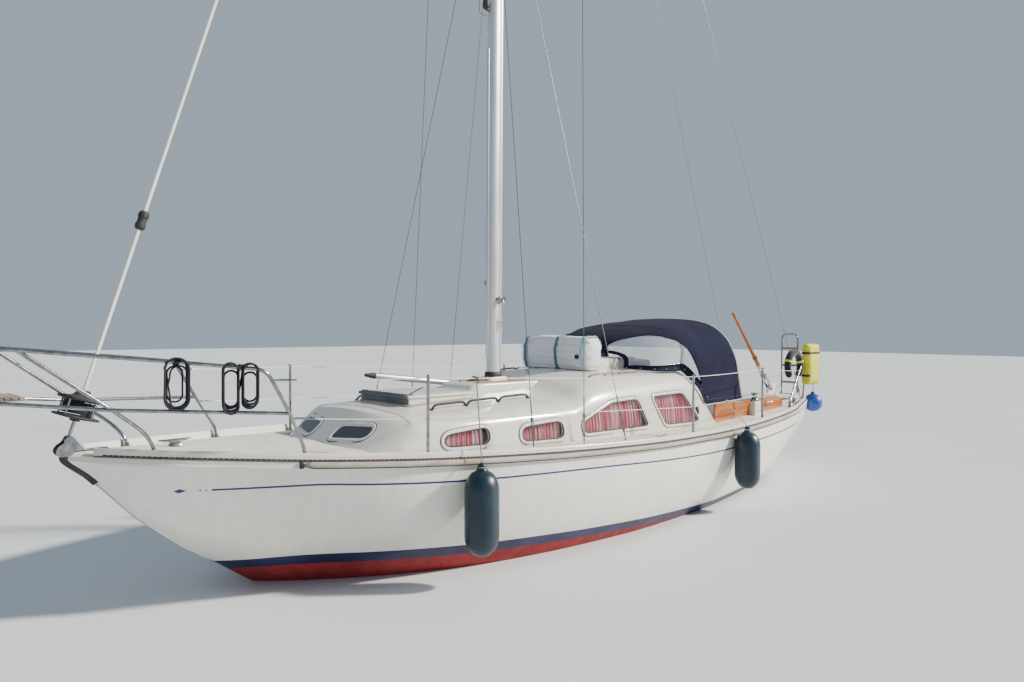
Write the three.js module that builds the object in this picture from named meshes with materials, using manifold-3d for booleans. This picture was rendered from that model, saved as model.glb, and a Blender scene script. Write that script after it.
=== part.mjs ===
// Sailing yacht, 9.4 m long: long keel, rudder hung on a raked transom, sloop rig without its boom.
// Millimetres. +X is forward, +Y is port, +Z is up. The origin is amidships on the centreline,
// at the height of the waterline.
import * as THREE from 'three';
import { mergeVertices } from 'three/addons/utils/BufferGeometryUtils.js';
import Module from 'manifold-3d';

const wasm = await Module();
wasm.setup();
const group = new THREE.Group();

// Driving dimensions
const GAP = 0.3;
const STEM_X = 4680;
const SKIN = 32;
const DECK_THICK = 25;
const DECK_CAMBER = 40;
const TRANSOM_TOP_Z = 900;
const RAKE = 0.48;
const AXIS_AFT = 34;
const KEEL_SOLE_Z = -1400;
const MAST_X = 940;
const MAST_HEEL_Z = 1430;
const MAST_TOP_Z = 12590;
const MAST_LONG = 160;
const MAST_WIDE = 110;
const SPREADER_Z = 7000;
const SPREADER_REACH = 1020;
const STAY_FOOT = new THREE.Vector3(4592, 0, 1262);
const STAY_HEAD_X = 1068;
const TUBE_R = 12.5;
const TRUNK_WALL = 30;
const COCKPIT_FORE_X = -1620;
const COCKPIT_AFT_X = -3500;
const SEAT_Z = 700;
const WELL_Z = 300;
const WELL_HALF = 290;
const SHAFT_START = new THREE.Vector3(-2150, 0, -120);
const SHAFT_SLOPE = 0.236;
const PROP_X = -3545;

// Finishes: colour, roughness, metalness
const FINISH = {
  gelcoat: ['#eceae0', 0.3, 0], deck: ['#dcd8ca', 0.6, 0], antifouling: ['#8c2a2c', 0.8, 0],
  steel: ['#b9bcbf', 0.25, 0.9], aluminium: ['#c9ccd0', 0.35, 0.8], bronze: ['#8a6a3a', 0.4, 0.8],
  varnish: ['#a3602c', 0.25, 0], teak: ['#a89480', 0.7, 0], navy: ['#22283f', 0.9, 0],
  slate: ['#3f4852', 0.5, 0], black: ['#191a1c', 0.6, 0], fender: ['#1e4a5c', 0.45, 0],
  yellow: ['#e0d43a', 0.8, 0], blue: ['#2a4bb0', 0.4, 0], raft: ['#d8d8d8', 0.6, 0],
  engine: ['#5a6a60', 0.5, 0.3], rope: ['#2a2c38', 0.9, 0],
};

// Deck edge height over the length, a shallow sweep that is lowest aft of amidships
function sheerZ(x) {
  const s = (STEM_X - x) / 1000;
  return 1088 - 81.7 * s + 6.56 * s * s;
}

const transomX = (z) => -STEM_X + RAKE * (TRANSOM_TOP_Z - z);
const axisX = (z) => transomX(z) - AXIS_AFT;

// Solids
function fromGeometry(geometry) {
  const bare = geometry.clone();
  for (const name of Object.keys(bare.attributes)) if (name !== 'position') bare.deleteAttribute(name);
  const merged = mergeVertices(bare, 1e-3);
  const mesh = new wasm.Mesh({
    numProp: 3,
    vertProperties: new Float32Array(merged.attributes.position.array),
    triVerts: new Uint32Array(merged.index.array),
  });
  return new wasm.Manifold(mesh);
}

// A closed shell through rings of equal point counts, with its faces turned outward
function loft(rings) {
  const count = rings[0].length;
  const points = rings.flat();
  const faces = [];
  for (let i = 0; i + 1 < rings.length; i++) {
    for (let j = 0; j < count; j++) {
      const a = i * count + j;
      const b = i * count + (j + 1) % count;
      faces.push(a, b, b + count, a, b + count, a + count);
    }
  }
  for (const [start, flip] of [[0, true], [(rings.length - 1) * count, false]]) {
    const middle = points.length;
    const ring = points.slice(start, start + count);
    points.push(ring.reduce((sum, p) => sum.add(p), new THREE.Vector3()).divideScalar(count));
    for (let j = 0; j < count; j++) {
      const a = start + j;
      const b = start + (j + 1) % count;
      faces.push(...(flip ? [b, a, middle] : [a, b, middle]));
    }
  }
  let volume = 0;
  for (let k = 0; k < faces.length; k += 3) {
    const [a, b, c] = [points[faces[k]], points[faces[k + 1]], points[faces[k + 2]]];
    volume += a.dot(new THREE.Vector3().crossVectors(b, c));
  }
  if (volume < 0) faces.reverse();
  const geometry = new THREE.BufferGeometry().setFromPoints(points);
  geometry.setIndex(faces);
  return fromGeometry(geometry);
}

const v = (x, y, z) => new THREE.Vector3(x, y, z);
const lerp = (a, b, t) => a + (b - a) * t;
const mirror = (solid) => solid.mirror([0, 1, 0]);

function box(x0, x1, y0, y1, z0, z1) {
  const geometry = new THREE.BoxGeometry(x1 - x0, y1 - y0, z1 - z0);
  geometry.translate((x0 + x1) / 2, (y0 + y1) / 2, (z0 + z1) / 2);
  return fromGeometry(geometry);
}

// Keeps the port half of a solid and mirrors it, so that both sides have the same facets
const portSide = box(-8000, 8000, 0, 4000, -4000, 16000);
function evenSides(solid) {
  const half = solid.intersect(portSide);
  return half.add(mirror(half));
}

// Turns a geometry whose axis is +Y so that the axis runs from one point to another
function aim(geometry, from, to) {
  const turn = new THREE.Quaternion().setFromUnitVectors(v(0, 1, 0), to.clone().sub(from).normalize());
  geometry.applyQuaternion(turn).translate(from.x, from.y, from.z);
  return fromGeometry(geometry);
}

function rod(from, to, radius, sides = 8) {
  const length = from.distanceTo(to);
  return aim(new THREE.CylinderGeometry(radius, radius, length, sides).translate(0, length / 2, 0), from, to);
}

// A turned body about the line from one point towards another; profile rows are [radius, height]
function turned(profile, from, to, sides = 12) {
  const curve = profile.map(([r, h]) => new THREE.Vector2(r, h));
  return aim(new THREE.LatheGeometry(curve, sides), from, to);
}

// A pipe through points, mitred at each of them
function pipe(points, radius, sides = 8) {
  const rings = [];
  let side = null;
  points.forEach((p, i) => {
    const before = p.clone().sub(points[Math.max(i - 1, 0)]).normalize();
    const after = points[Math.min(i + 1, points.length - 1)].clone().sub(p).normalize();
    const along = before.clone().add(after).normalize();
    const leg = i === 0 ? after : before;
    if (!side) side = Math.abs(leg.z) > 0.9 ? v(1, 0, 0) : v(0, 0, 1);
    side = side.clone().addScaledVector(leg, -side.dot(leg)).normalize();
    const up = new THREE.Vector3().crossVectors(leg, side);
    const ring = [];
    for (let k = 0; k < sides; k++) {
      const angle = (2 * Math.PI * k) / sides;
      const spoke = side.clone().multiplyScalar(Math.cos(angle)).addScaledVector(up, Math.sin(angle));
      spoke.multiplyScalar(radius);
      spoke.addScaledVector(leg, -spoke.dot(along) / leg.dot(along));
      ring.push(p.clone().add(spoke));
    }
    rings.push(ring);
  });
  return loft(rings);
}

// Rounds the inner corners of a route with two points each
function rounded(points, radius) {
  const route = [points[0]];
  for (let i = 1; i + 1 < points.length; i++) {
    const p = points[i];
    for (const other of [points[i - 1], points[i + 1]]) {
      const reach = Math.min(radius, p.distanceTo(other) * 0.45);
      route.push(p.clone().add(other.clone().sub(p).setLength(reach)));
    }
    const last = route.length;
    const middle = route[last - 1].clone().add(route[last - 2]).multiplyScalar(0.5).lerp(p, 0.45);
    route.splice(last - 1, 0, middle);
  }
  route.push(points[points.length - 1]);
  return route;
}

const union = (solids) => solids.reduce((a, b) => a.add(b));

// Puts a finished solid in the model under its name
function node(name, solid, finish) {
  const result = solid.getMesh();
  const geometry = new THREE.BufferGeometry();
  const positions = new Float32Array(result.vertProperties);
  geometry.setAttribute('position', new THREE.BufferAttribute(positions, result.numProp));
  geometry.setIndex(new THREE.BufferAttribute(new Uint32Array(result.triVerts), 1));
  geometry.computeVertexNormals();
  const [color, roughness, metalness] = FINISH[finish];
  const mesh = new THREE.Mesh(geometry, new THREE.MeshStandardMaterial({ color, roughness, metalness }));
  mesh.name = name;
  group.add(mesh);
}

// Hull sections, each a curve from the deck edge over the bilge to the centreline:
// [x, deck edge y, bilge y, bilge z, garboard y, garboard z, bottom z]
const SECTIONS = [
  [4628, 30, 26, 1052, 14, 1042, 1034],
  [4520, 125, 85, 1010, 35, 965, 945],
  [4390, 210, 140, 930, 55, 850, 805],
  [4235, 315, 205, 830, 75, 690, 633],
  [4036, 435, 290, 720, 105, 520, 455],
  [3874, 525, 350, 640, 130, 400, 326],
  [3654, 650, 450, 540, 170, 270, 185],
  [3418, 775, 560, 440, 215, 110, 15],
  [3100, 915, 720, 330, 290, -50, -130],
  [2600, 1085, 960, 180, 440, -210, -270],
  [1800, 1255, 1220, 30, 620, -370, -420],
  [900, 1375, 1380, -20, 720, -460, -500],
  [0, 1430, 1450, -40, 740, -500, -530],
  [-900, 1405, 1440, -30, 740, -470, -500],
  [-1800, 1320, 1360, 20, 720, -380, -420],
  [-2700, 1180, 1220, 100, 700, -240, -290],
  [-3500, 1020, 1000, 330, 550, -110, -170],
  [-4200, 800, 790, 450, 420, 110, 60],
  [-4900, 580, 560, 520, 280, 330, 300],
];
const ARC_STEPS = 9;

// Deck half-breadth between the sections
function deckHalf(x) {
  const i = Math.max(1, SECTIONS.findIndex((row) => row[0] <= x));
  const [a, b] = [SECTIONS[i - 1], SECTIONS[i]];
  return lerp(a[1], b[1], (x - a[0]) / (b[0] - a[0]));
}

// One side of a section, grown outward by an offset; the top ends at the deck edge
function sectionSide([x, y0, y1, z1, y2, z2, z3], grow) {
  const top = v(x, y0, sheerZ(x) - DECK_THICK - GAP);
  const curve = new THREE.CubicBezierCurve3(top, v(x, y1, z1), v(x, y2, z2), v(x, 0, z3));
  const side = [];
  for (let i = 0; i <= ARC_STEPS; i++) {
    const p = curve.getPoint(i / ARC_STEPS);
    const t = curve.getTangent(i / ARC_STEPS);
    const out = i === ARC_STEPS ? v(0, 0, -1) : v(0, -t.z, t.y).normalize();
    side.push(p.addScaledVector(out, grow));
  }
  return side;
}

function hullLoft(rows, grow, raise = 0) {
  return loft(rows.map((row) => {
    const port = sectionSide(row, grow);
    if (raise) port.unshift(port[0].clone().setZ(port[0].z + raise));
    const starboard = port.slice(0, -1).map((p) => v(p.x, -p.y, p.z)).reverse();
    return [...port, ...starboard];
  }));
}

// The flat raked plane of the transom, as a block of all that lies behind it
function behindTransom(shift) {
  const x = (z) => transomX(z) + shift;
  const plan = [[x(2000), 2000], [x(-600), -600], [-6500, -600], [-6500, 2000]];
  return loft([-1500, 1500].map((y) => plan.map(([px, pz]) => v(px, y, pz))));
}

const canoe = evenSides(hullLoft(SECTIONS, 0).subtract(behindTransom(0)));
const canoeGrown = evenSides(hullLoft(SECTIONS, GAP).subtract(behindTransom(-GAP)));
const hollowRows = SECTIONS.filter((row) => row[0] < 3500 && row[0] > -4000);
const hollow = hullLoft(hollowRows, -SKIN, 60);

// Deck top across the beam, at a height above the deck edge, with a flat margin past the edge
function deckRing(x, half, lift, bottom, margin = 0) {
  const top = sheerZ(x) + lift;
  const rows = [[half + margin, bottom], [half + margin, top], [half * 0.6, top + DECK_CAMBER * 0.64],
    [0, top + DECK_CAMBER]];
  if (margin) rows.splice(2, 0, [half, top]);
  const ring = rows.map(([y, z]) => v(x, y, z));
  return [...ring, ...ring.slice(0, -1).map((p) => v(p.x, -p.y, p.z)).reverse()];
}

const deckRings = SECTIONS.map((row) => deckRing(row[0], row[1], 0, sheerZ(row[0]) - DECK_THICK));
const deckSlab = evenSides(loft(deckRings).subtract(behindTransom(0)));
// All that lies under the deck's top, a hair higher, to seat what stands on the deck
const underDeck = evenSides(loft(SECTIONS.map((row) => deckRing(row[0], row[1], GAP, -700, 60))));

// Cabin trunk sections: [x, base y, knuckle y, knuckle z, roof edge y, roof edge z, crown z, slope]
// slope is the run in X for each unit of height above LEVEL
const LEVEL = 970;
const BULGE = 80;
const TRUNK = [
  [2940, 700, 655, 1150, 540, 1205, 1235, -1.28],
  [2560, 775, 735, 1163, 620, 1212, 1245, 0],
  [2000, 860, 830, 1165, 710, 1215, 1278, 0],
  [760, 920, 885, 1165, 770, 1230, 1325, 0],
  [480, 930, 898, 1225, 775, 1360, 1430, 0],
  [150, 940, 905, 1240, 770, 1415, 1480, 0],
  [-1489, 950, 905, 1250, 800, 1430, 1500, 0.737],
];

function trunkLoft(inset, raise, base) {
  return loft(TRUNK.map(([x, yb, yk, zk, ye, ze, zc, slope], i) => {
    const nose = i === 0 ? BULGE : 0;
    const shift = inset * (i === 0 ? -1.6 : i === TRUNK.length - 1 ? 1.25 : 0);
    const flare = (LEVEL - base) * (yb - yk) / (zk - LEVEL);
    const rows = [[yb + flare, base], [yb, LEVEL], [yk, zk], [ye, ze], [ye * 0.5, lerp(ze, zc, 0.75)],
      [0, zc]];
    const ring = rows.map(([y, z], k) => {
      const level = z + (k < 2 ? 0 : raise) - (k < 2 ? 0 : inset);
      const width = Math.max(0, y - (y ? inset * (k < 3 ? 1 : 0.6) : 0));
      const run = x + slope * (level - LEVEL) - nose * (width / yb) ** 2 + shift;
      return v(run, width, level);
    });
    return [...ring, ...ring.slice(0, -1).map((p) => v(p.x, -p.y, p.z)).reverse()];
  }));
}

const trunkOuter = evenSides(trunkLoft(0, 0, 700));
const trunkInner = evenSides(trunkLoft(TRUNK_WALL, 0, 640));
// All that lies under the roof, a hair higher, to seat what stands on it
const underRoof = evenSides(trunkLoft(0, GAP, 600));
const trunkGrown = evenSides(trunkLoft(-GAP, GAP, 600));

// Windows in the trunk side: corners [x, z] of each, cut straight through across the boat
const WINDOWS = [
  [[2215, 1028], [2170, 1078], [2080, 1093], [1910, 1102], [1835, 1088], [1795, 1040], [1810, 990],
    [1900, 968], [2090, 960], [2175, 975]],
  [[1420, 1005], [1375, 1058], [1290, 1074], [1070, 1084], [980, 1068], [935, 1015], [955, 955],
    [1060, 930], [1290, 926], [1380, 946]],
  [[640, 960], [640, 1080], [250, 1190], [-190, 1202], [-300, 950], [-270, 935], [600, 935]],
  [[-460, 1207], [-1000, 1212], [-1070, 1180], [-1230, 930], [-1210, 912], [-600, 925]],
];

function windowCut(corners) {
  return loft([-1200, 1200].map((y) => corners.map(([x, z]) => v(x, y, z))));
}

// The two small front windows look forward, one each side of the centreline
function noseWindow(side) {
  const corners = [[150, 1055], [175, 1122], [260, 1138], [470, 1144], [520, 1110], [495, 1062], [400, 1045],
    [190, 1038]];
  return loft([2450, 3100].map((x) => corners.map(([y, z]) => v(x, side * y, z))));
}

// Hull: a hollow moulding with engine bearers, shaft bore and the two upper rudder gudgeons
const axisDir = v(-RAKE, 0, 1).normalize();
const axisPoint = (z) => v(axisX(z), 0, z);
const shaftDir = v(-1, 0, -SHAFT_SLOPE).normalize();
const shaftAt = (x) => v(x, 0, SHAFT_START.z + (x - SHAFT_START.x) * SHAFT_SLOPE);
const shaftBore = rod(shaftAt(SHAFT_START.x - 30), shaftAt(PROP_X - 100), 19, 12);
const PIN_R = 8;
const GUDGEON = { half: 7, eye: 20, strapHalf: 14, strapLong: 80, pinSlack: 0.7 };

// An eye on the rudder axis, reaching forward into the transom or the sternpost
function gudgeon(z) {
  const centre = axisPoint(z);
  const low = centre.clone().addScaledVector(axisDir, -GUDGEON.half);
  const high = centre.clone().addScaledVector(axisDir, GUDGEON.half);
  const eye = rod(low, high, GUDGEON.eye, 12);
  const forward = v(1, 0, RAKE).normalize();
  const strap = loft([low, high].map((p) => {
    const root = p.clone().addScaledVector(forward, GUDGEON.strapLong);
    return [
      root.clone().setY(GUDGEON.strapHalf), p.clone().setY(GUDGEON.strapHalf),
      p.clone().setY(-GUDGEON.strapHalf), root.clone().setY(-GUDGEON.strapHalf),
    ];
  }));
  const below = low.clone().addScaledVector(axisDir, -20);
  const above = high.clone().addScaledVector(axisDir, 20);
  return eye.add(strap).subtract(rod(below, above, PIN_R + GUDGEON.pinSlack, 12));
}

const HULL_GUDGEONS = [640, 230];
const KEEL_GUDGEONS = [-180, -1290];
const ENGINE = { x0: -2150, x1: -1450, half: 250, z0: -215, z1: 235 };
const BEARER = { x0: -2350, x1: -1300, y0: 170, y1: 230, depth: 520 };
const bearers = [1, -1].map((side) => {
  const [a, b] = [side * BEARER.y0, side * BEARER.y1].sort((p, q) => p - q);
  return box(BEARER.x0, BEARER.x1, a, b, -BEARER.depth, ENGINE.z0 - GAP).intersect(canoe);
});
const hull = union([canoe.subtract(hollow), ...bearers, ...HULL_GUDGEONS.map(gudgeon)]).subtract(shaftBore);
node('hull', hull, 'gelcoat');

// Keel: foil sections at rising levels, [z, leading edge x, half thickness]
const KEEL = [
  [KEEL_SOLE_Z, 520, 140],
  [-1300, 760, 165],
  [-1000, 1120, 150],
  [-700, 1560, 140],
  [-400, 2200, 150],
  [160, 2900, 170],
];
const POST_HALF = 26;
// Foil: [share of the chord, share of the half thickness]
const FOIL = [[0, 0.1], [0.012, 0.32], [0.045, 0.6], [0.12, 0.86], [0.3, 1], [0.55, 0.88], [0.8, 0.52],
  [1, 0]];

function foilRing(z, lead, trail, half, tail) {
  const side = FOIL.map(([u, f]) => v(lerp(lead, trail, u), Math.max(half * f, u > 0.5 ? tail : 0), z));
  return [...side, ...side.map((p) => v(p.x, -p.y, p.z)).reverse()];
}

const APERTURE = { fore: -3290, low: -790, high: -250 };
const aperture = loft([-200, 200].map((y) => [
  v(APERTURE.fore, y, APERTURE.low + 90), v(APERTURE.fore + 25, y, -500),
  v(APERTURE.fore, y, APERTURE.high - 60),
  v(APERTURE.fore - 90, y, APERTURE.high), v(-4300, y, APERTURE.high), v(-4300, y, APERTURE.low),
  v(APERTURE.fore - 90, y, APERTURE.low),
]));
const keel = loft(KEEL.map(([z, lead, half]) => foilRing(z, lead, transomX(z), half, POST_HALF)))
  .subtract(canoeGrown).subtract(aperture).add(union(KEEL_GUDGEONS.map(gudgeon))).subtract(shaftBore);
node('keel', keel, 'antifouling');

// Rudder blade and head: [z, chord]
const RUDDER = [[-1360, 420], [-1200, 500], [-700, 530], [-200, 480], [150, 300], [600, 205], [1090, 235]];
const RUDDER_HALF = 24;
const NOTCH = { half: 16, radius: 32 };
let rudder = loft(RUDDER.map(([z, chord]) => {
  const lead = axisX(z) + 20;
  return foilRing(z, lead, lead - chord, RUDDER_HALF, 7);
}));
for (const z of [...HULL_GUDGEONS, ...KEEL_GUDGEONS]) {
  const centre = axisPoint(z);
  const along = (run) => centre.clone().addScaledVector(axisDir, run);
  const notch = rod(along(-NOTCH.half), along(NOTCH.half), NOTCH.radius, 12);
  const pin = rod(along(-NOTCH.half - 12), along(NOTCH.half + 12), PIN_R, 12);
  rudder = rudder.subtract(notch).add(pin);
}
const TILLER_PIVOT = v(axisX(1000) - 60, 0, 1010);
const tillerPin = rod(TILLER_PIVOT.clone().setY(-40), TILLER_PIVOT.clone().setY(40), 7.5, 12);
rudder = rudder.add(tillerPin);
node('rudder', rudder, 'gelcoat');

// Tiller: two cheek straps on the rudder head and a tapered wooden bar, raised as it is moored
const TILLER_ANGLE = THREE.MathUtils.degToRad(45);
const tillerAt = (run, side, rise) => v(
  TILLER_PIVOT.x + run * Math.cos(TILLER_ANGLE) - rise * Math.sin(TILLER_ANGLE), side,
  TILLER_PIVOT.z + run * Math.sin(TILLER_ANGLE) + rise * Math.cos(TILLER_ANGLE));

// A bar of rectangular section along the tiller: rows [run, half width, half depth]
function tillerBar(rows, offset) {
  return loft(rows.map(([run, half, depth]) => {
    const corners = [[half, depth], [-half, depth], [-half, -depth], [half, -depth]];
    return corners.map(([y, h]) => tillerAt(run, offset + y, h));
  }));
}

const cheeks = [33, -33].map((y) => tillerBar([[-24, 4, 22], [330, 4, 22]], y));
const tillerPinHole = rod(TILLER_PIVOT.clone().setY(-45), TILLER_PIVOT.clone().setY(45), 8, 12);
const TILLER_WOOD = [[240, 29.5, 26], [330, 29.5, 30], [900, 22, 24], [1400, 17, 20], [1600, 20, 22]];
const tillerWood = tillerBar(TILLER_WOOD, 0);
node('tiller', union([...cheeks, tillerWood]).subtract(tillerPinHole), 'varnish');

// Propeller and its shaft
const propCentre = shaftAt(PROP_X);
const shaftEnd = shaftAt(PROP_X - 30);
const SHAFT_R = 16;
const HUB_FORE = 45;
// The shaft's round end stands square to its slope, just clear of the engine at every turn
const shaftTop = ENGINE.x0 - SHAFT_R * SHAFT_SLOPE - GAP;
const shaftFoot = PROP_X + (HUB_FORE + GAP) * Math.cos(Math.atan(SHAFT_SLOPE));
node('propeller_shaft', rod(shaftAt(shaftTop), shaftAt(shaftFoot), SHAFT_R, 12), 'steel');
const hub = turned([[0, -HUB_FORE], [32, -HUB_FORE], [34, 20], [18, 75], [0, 80]], propCentre, shaftEnd, 14);
// Blade: [radius, half width, half thickness]
const BLADE = [[20, 30, 9], [90, 62, 8], [160, 60, 6], [200, 26, 4]];
const BLADE_TIP_R = 200;
const shaftLean = THREE.MathUtils.radToDeg(Math.atan(SHAFT_SLOPE));
const blades = [0, 1, 2].map((k) => {
  const blade = loft(BLADE.map(([r, half, thick]) => {
    const pitch = lerp(1.1, 0.5, r / BLADE_TIP_R);
    return [[half, 0], [0, thick], [-half, 0], [0, -thick]].map(([w, t]) => v(
      w * Math.cos(pitch) - t * Math.sin(pitch), w * Math.sin(pitch) + t * Math.cos(pitch), r));
  }));
  return blade.scale([0.62, 1, 1]).rotate([k * 120, 0, 0]).rotate([0, -shaftLean, 0])
    .translate([propCentre.x, 0, propCentre.z]);
});
node('propeller', union([hub, ...blades]), 'bronze');
node('engine', box(ENGINE.x0, ENGINE.x1, -ENGINE.half, ENGINE.half, ENGINE.z0, ENGINE.z1), 'engine');

// Deck, open under the trunk and over the cockpit
const cockpitHalf = (x) => lerp(905, 740, (COCKPIT_FORE_X - x) / (COCKPIT_FORE_X - COCKPIT_AFT_X));
function cockpitPlan(inset, x0, x1, z0, z1) {
  const half = (x) => cockpitHalf(x) - inset;
  const corners = [[x0, half(x0)], [x0, -half(x0)], [x1, -half(x1)], [x1, half(x1)]];
  return loft([z0, z1].map((z) => corners.map(([x, y]) => v(x, y, z))));
}
const LADDER = { x: -4742, z: 956, y0: 225, y1: 465, tall: 885, pin: 8 };
const lugs = [LADDER.y0 - 26, LADDER.y1 + 18].map((y) => box(-4765, -4600, y, y + 8, 876, 980));
const ladderPoint = (y, rise) => v(LADDER.x, y, LADDER.z + rise);
const lugPin = rod(ladderPoint(LADDER.y0 - 60, 0), ladderPoint(LADDER.y1 + 60, 0), LADDER.pin + 0.7, 12);
const deck = deckSlab.add(union(lugs).subtract(lugPin)).subtract(trunkInner)
  .subtract(cockpitPlan(0, COCKPIT_FORE_X, COCKPIT_AFT_X, 600, 1200));
node('deck', deck, 'deck');

// Cabin trunk with its windows, companionway and fore hatch opening
const COMPANION = { half: 300, aft: -1700, fore: -620, sill: 930 };
const companionCut = box(COMPANION.aft, COMPANION.fore, -COMPANION.half, COMPANION.half, COMPANION.sill,
  1800);
const FOREHATCH = { x0: 1500, x1: 2260, half: 370, top: 1318, lid: 26 };
const hatchCut = box(1600, 2160, -290, 290, 1100, 1500);
const trunkShell = trunkOuter.subtract(trunkInner).subtract(underDeck);
const trunk = trunkShell.subtract(companionCut).subtract(hatchCut)
  .subtract(union([...WINDOWS.map(windowCut), noseWindow(1), noseWindow(-1)]));
node('cabin_trunk', trunk, 'gelcoat');
const washboard = box(COMPANION.aft, -1000, -COMPANION.half + GAP, COMPANION.half - GAP, COMPANION.sill + GAP,
  1800);
const aboveWashboards = box(-1230, -900, -400, 400, 1440, 1800);
node('washboards', trunkShell.intersect(washboard).subtract(aboveWashboards), 'varnish');

// Companion hatch sliding under its garage
const GARAGE = { x0: -640, x1: -20, half: 385, top: 1602, wall: 18 };
const garageInner = box(GARAGE.x0 - 50, GARAGE.x1 - GARAGE.wall, -GARAGE.half + GARAGE.wall,
  GARAGE.half - GARAGE.wall, 1300, GARAGE.top - GARAGE.wall);
const garageGrown = box(GARAGE.x0 - 10, GARAGE.x1 + GAP, -GARAGE.half - GAP, GARAGE.half + GAP, 1300,
  GARAGE.top + GAP);
node('hatch_garage', box(GARAGE.x0, GARAGE.x1, -GARAGE.half, GARAGE.half, 1380, GARAGE.top)
  .subtract(garageInner).subtract(underRoof), 'gelcoat');
const SLIDER = { x0: -1210, x1: -655, half: 345, top: 1566, wall: 22, lip: 20 };
const sliderInner = box(SLIDER.x0 - 50, SLIDER.x1 + 50, -SLIDER.half + SLIDER.lip, SLIDER.half - SLIDER.lip,
  1300, SLIDER.top - SLIDER.wall);
// The hatch slides 300 mm forward up the rise of the roof and stays clear of it
const roofOnTheWay = underRoof.translate([-300, 0, 4]);
node('companion_hatch', box(SLIDER.x0, SLIDER.x1, -SLIDER.half, SLIDER.half, 1380, SLIDER.top)
  .subtract(sliderInner).subtract(underRoof).subtract(roofOnTheWay), 'gelcoat');

// Fore hatch: a raised frame on the roof and its lid
const hatchInner = box(1545, 2215, -325, 325, 1000, 1500);
const hatchOuter = box(FOREHATCH.x0 + 12, FOREHATCH.x1 - 20, -FOREHATCH.half + 15, FOREHATCH.half - 15, 1100,
  FOREHATCH.top);
node('fore_hatch_frame', hatchOuter.subtract(hatchInner).subtract(underRoof), 'gelcoat');
node('fore_hatch_lid', box(FOREHATCH.x0, FOREHATCH.x1, -FOREHATCH.half, FOREHATCH.half, FOREHATCH.top + GAP,
  FOREHATCH.top + FOREHATCH.lid), 'slate');

// Mast podium, a raised step between the low roof and the doghouse
const PODIUM = { x0: 300, x1: 1430, half: 255, top: 1392 };
const podium = loft([
  [PODIUM.x0, PODIUM.half, PODIUM.top], [PODIUM.x1 - 60, PODIUM.half - 20, PODIUM.top],
  [PODIUM.x1, PODIUM.half - 50, PODIUM.top - 40],
].map(([x, y, z]) => [v(x, y + 15, 1150), v(x, y, z), v(x, -y, z), v(x, -y - 15, 1150)]));
node('mast_podium', podium.subtract(underRoof), 'gelcoat');

// Mast with its heel collar, masthead and one pair of spreaders
function mastLoft(grow, z0, z1) {
  const ring = (z) => Array.from({ length: 14 }, (_, k) => {
    const angle = (2 * Math.PI * k) / 14;
    return v(MAST_X + (MAST_LONG / 2 + grow) * Math.cos(angle), (MAST_WIDE / 2 + grow) * Math.sin(angle), z);
  });
  return loft([ring(z0), ring(z1)]);
}
const heel = box(MAST_X - 125, MAST_X + 125, -95, 95, PODIUM.top + GAP, MAST_HEEL_Z + 12);
const masthead = box(MAST_X - 165, MAST_X + 150, -28, 28, MAST_TOP_Z - 12, MAST_TOP_Z + 14);
// Spreader: [reach, half width, half thickness], swept aft and a little upward
const SPREADER = [[0, 46, 12], [SPREADER_REACH, 26, 9]];
const spreaders = [1, -1].map((side) => loft(SPREADER.map(([reach, half, thick]) => {
  const corners = [[half, 0], [0, thick], [-half, 0], [0, -thick]];
  const [sweep, rise] = [reach * 0.06, reach * 0.05];
  return corners.map(([dx, dz]) => v(MAST_X + dx - sweep, side * reach, SPREADER_Z + dz + rise));
})));
node('mast', union([mastLoft(0, MAST_HEEL_Z, MAST_TOP_Z), heel, masthead, ...spreaders]), 'aluminium');
const mastGrown = union([mastLoft(GAP, 1000, MAST_TOP_Z), masthead.translate([0, 0, -GAP]),
  ...spreaders.map((s) => s.translate([0, 0, -GAP]))]);

// Standing rigging: a wire with a rigging screw and a toggle that stands on its chainplate
const WIRE_R = 3.5;
const SCREW = [[0, -30], [11, -30], [11, 55], [5, 60], [5, 90], [11, 95], [11, 290], [5, 300], [5, 340],
  [WIRE_R, 350]];
function stay(foot, head) {
  const length = foot.distanceTo(head);
  return turned([...SCREW, [WIRE_R, length], [0, length]], foot, head, 6);
}
const FORE_LOWER = { foot: v(1585, 1180, 900), head: v(MAST_X + 40, 0, SPREADER_Z - 170) };
const AFT_LOWER = { foot: v(480, 1268, 890), head: v(MAST_X - 40, 0, SPREADER_Z - 170) };
const BACKSTAY = { foot: v(-4665, 550, 925), head: v(MAST_X - 150, 24, MAST_TOP_Z + 4) };
// The cap shroud bends over the spreader's tip, where a ball end holds it
const CAP = {
  foot: v(1020, 1230, 890),
  tip: v(MAST_X - 0.06 * SPREADER_REACH, SPREADER_REACH + 9.6, SPREADER_Z + 50),
};
const capBall = fromGeometry(new THREE.IcosahedronGeometry(9, 0).translate(CAP.tip.x, CAP.tip.y, CAP.tip.z));
const capUpper = rod(CAP.tip, v(MAST_X, 20, MAST_TOP_Z), WIRE_R, 6);
const STAYS = {
  cap_shroud: union([stay(CAP.foot, CAP.tip), capUpper, capBall]),
  fore_lower_shroud: stay(FORE_LOWER.foot, FORE_LOWER.head),
  aft_lower_shroud: stay(AFT_LOWER.foot, AFT_LOWER.head),
  backstay: stay(BACKSTAY.foot, BACKSTAY.head),
};
for (const [name, wire] of Object.entries(STAYS)) {
  const solid = wire.subtract(underDeck).subtract(mastGrown);
  node(`${name}_port`, solid, 'steel');
  node(`${name}_starboard`, mirror(solid), 'steel');
}

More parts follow.
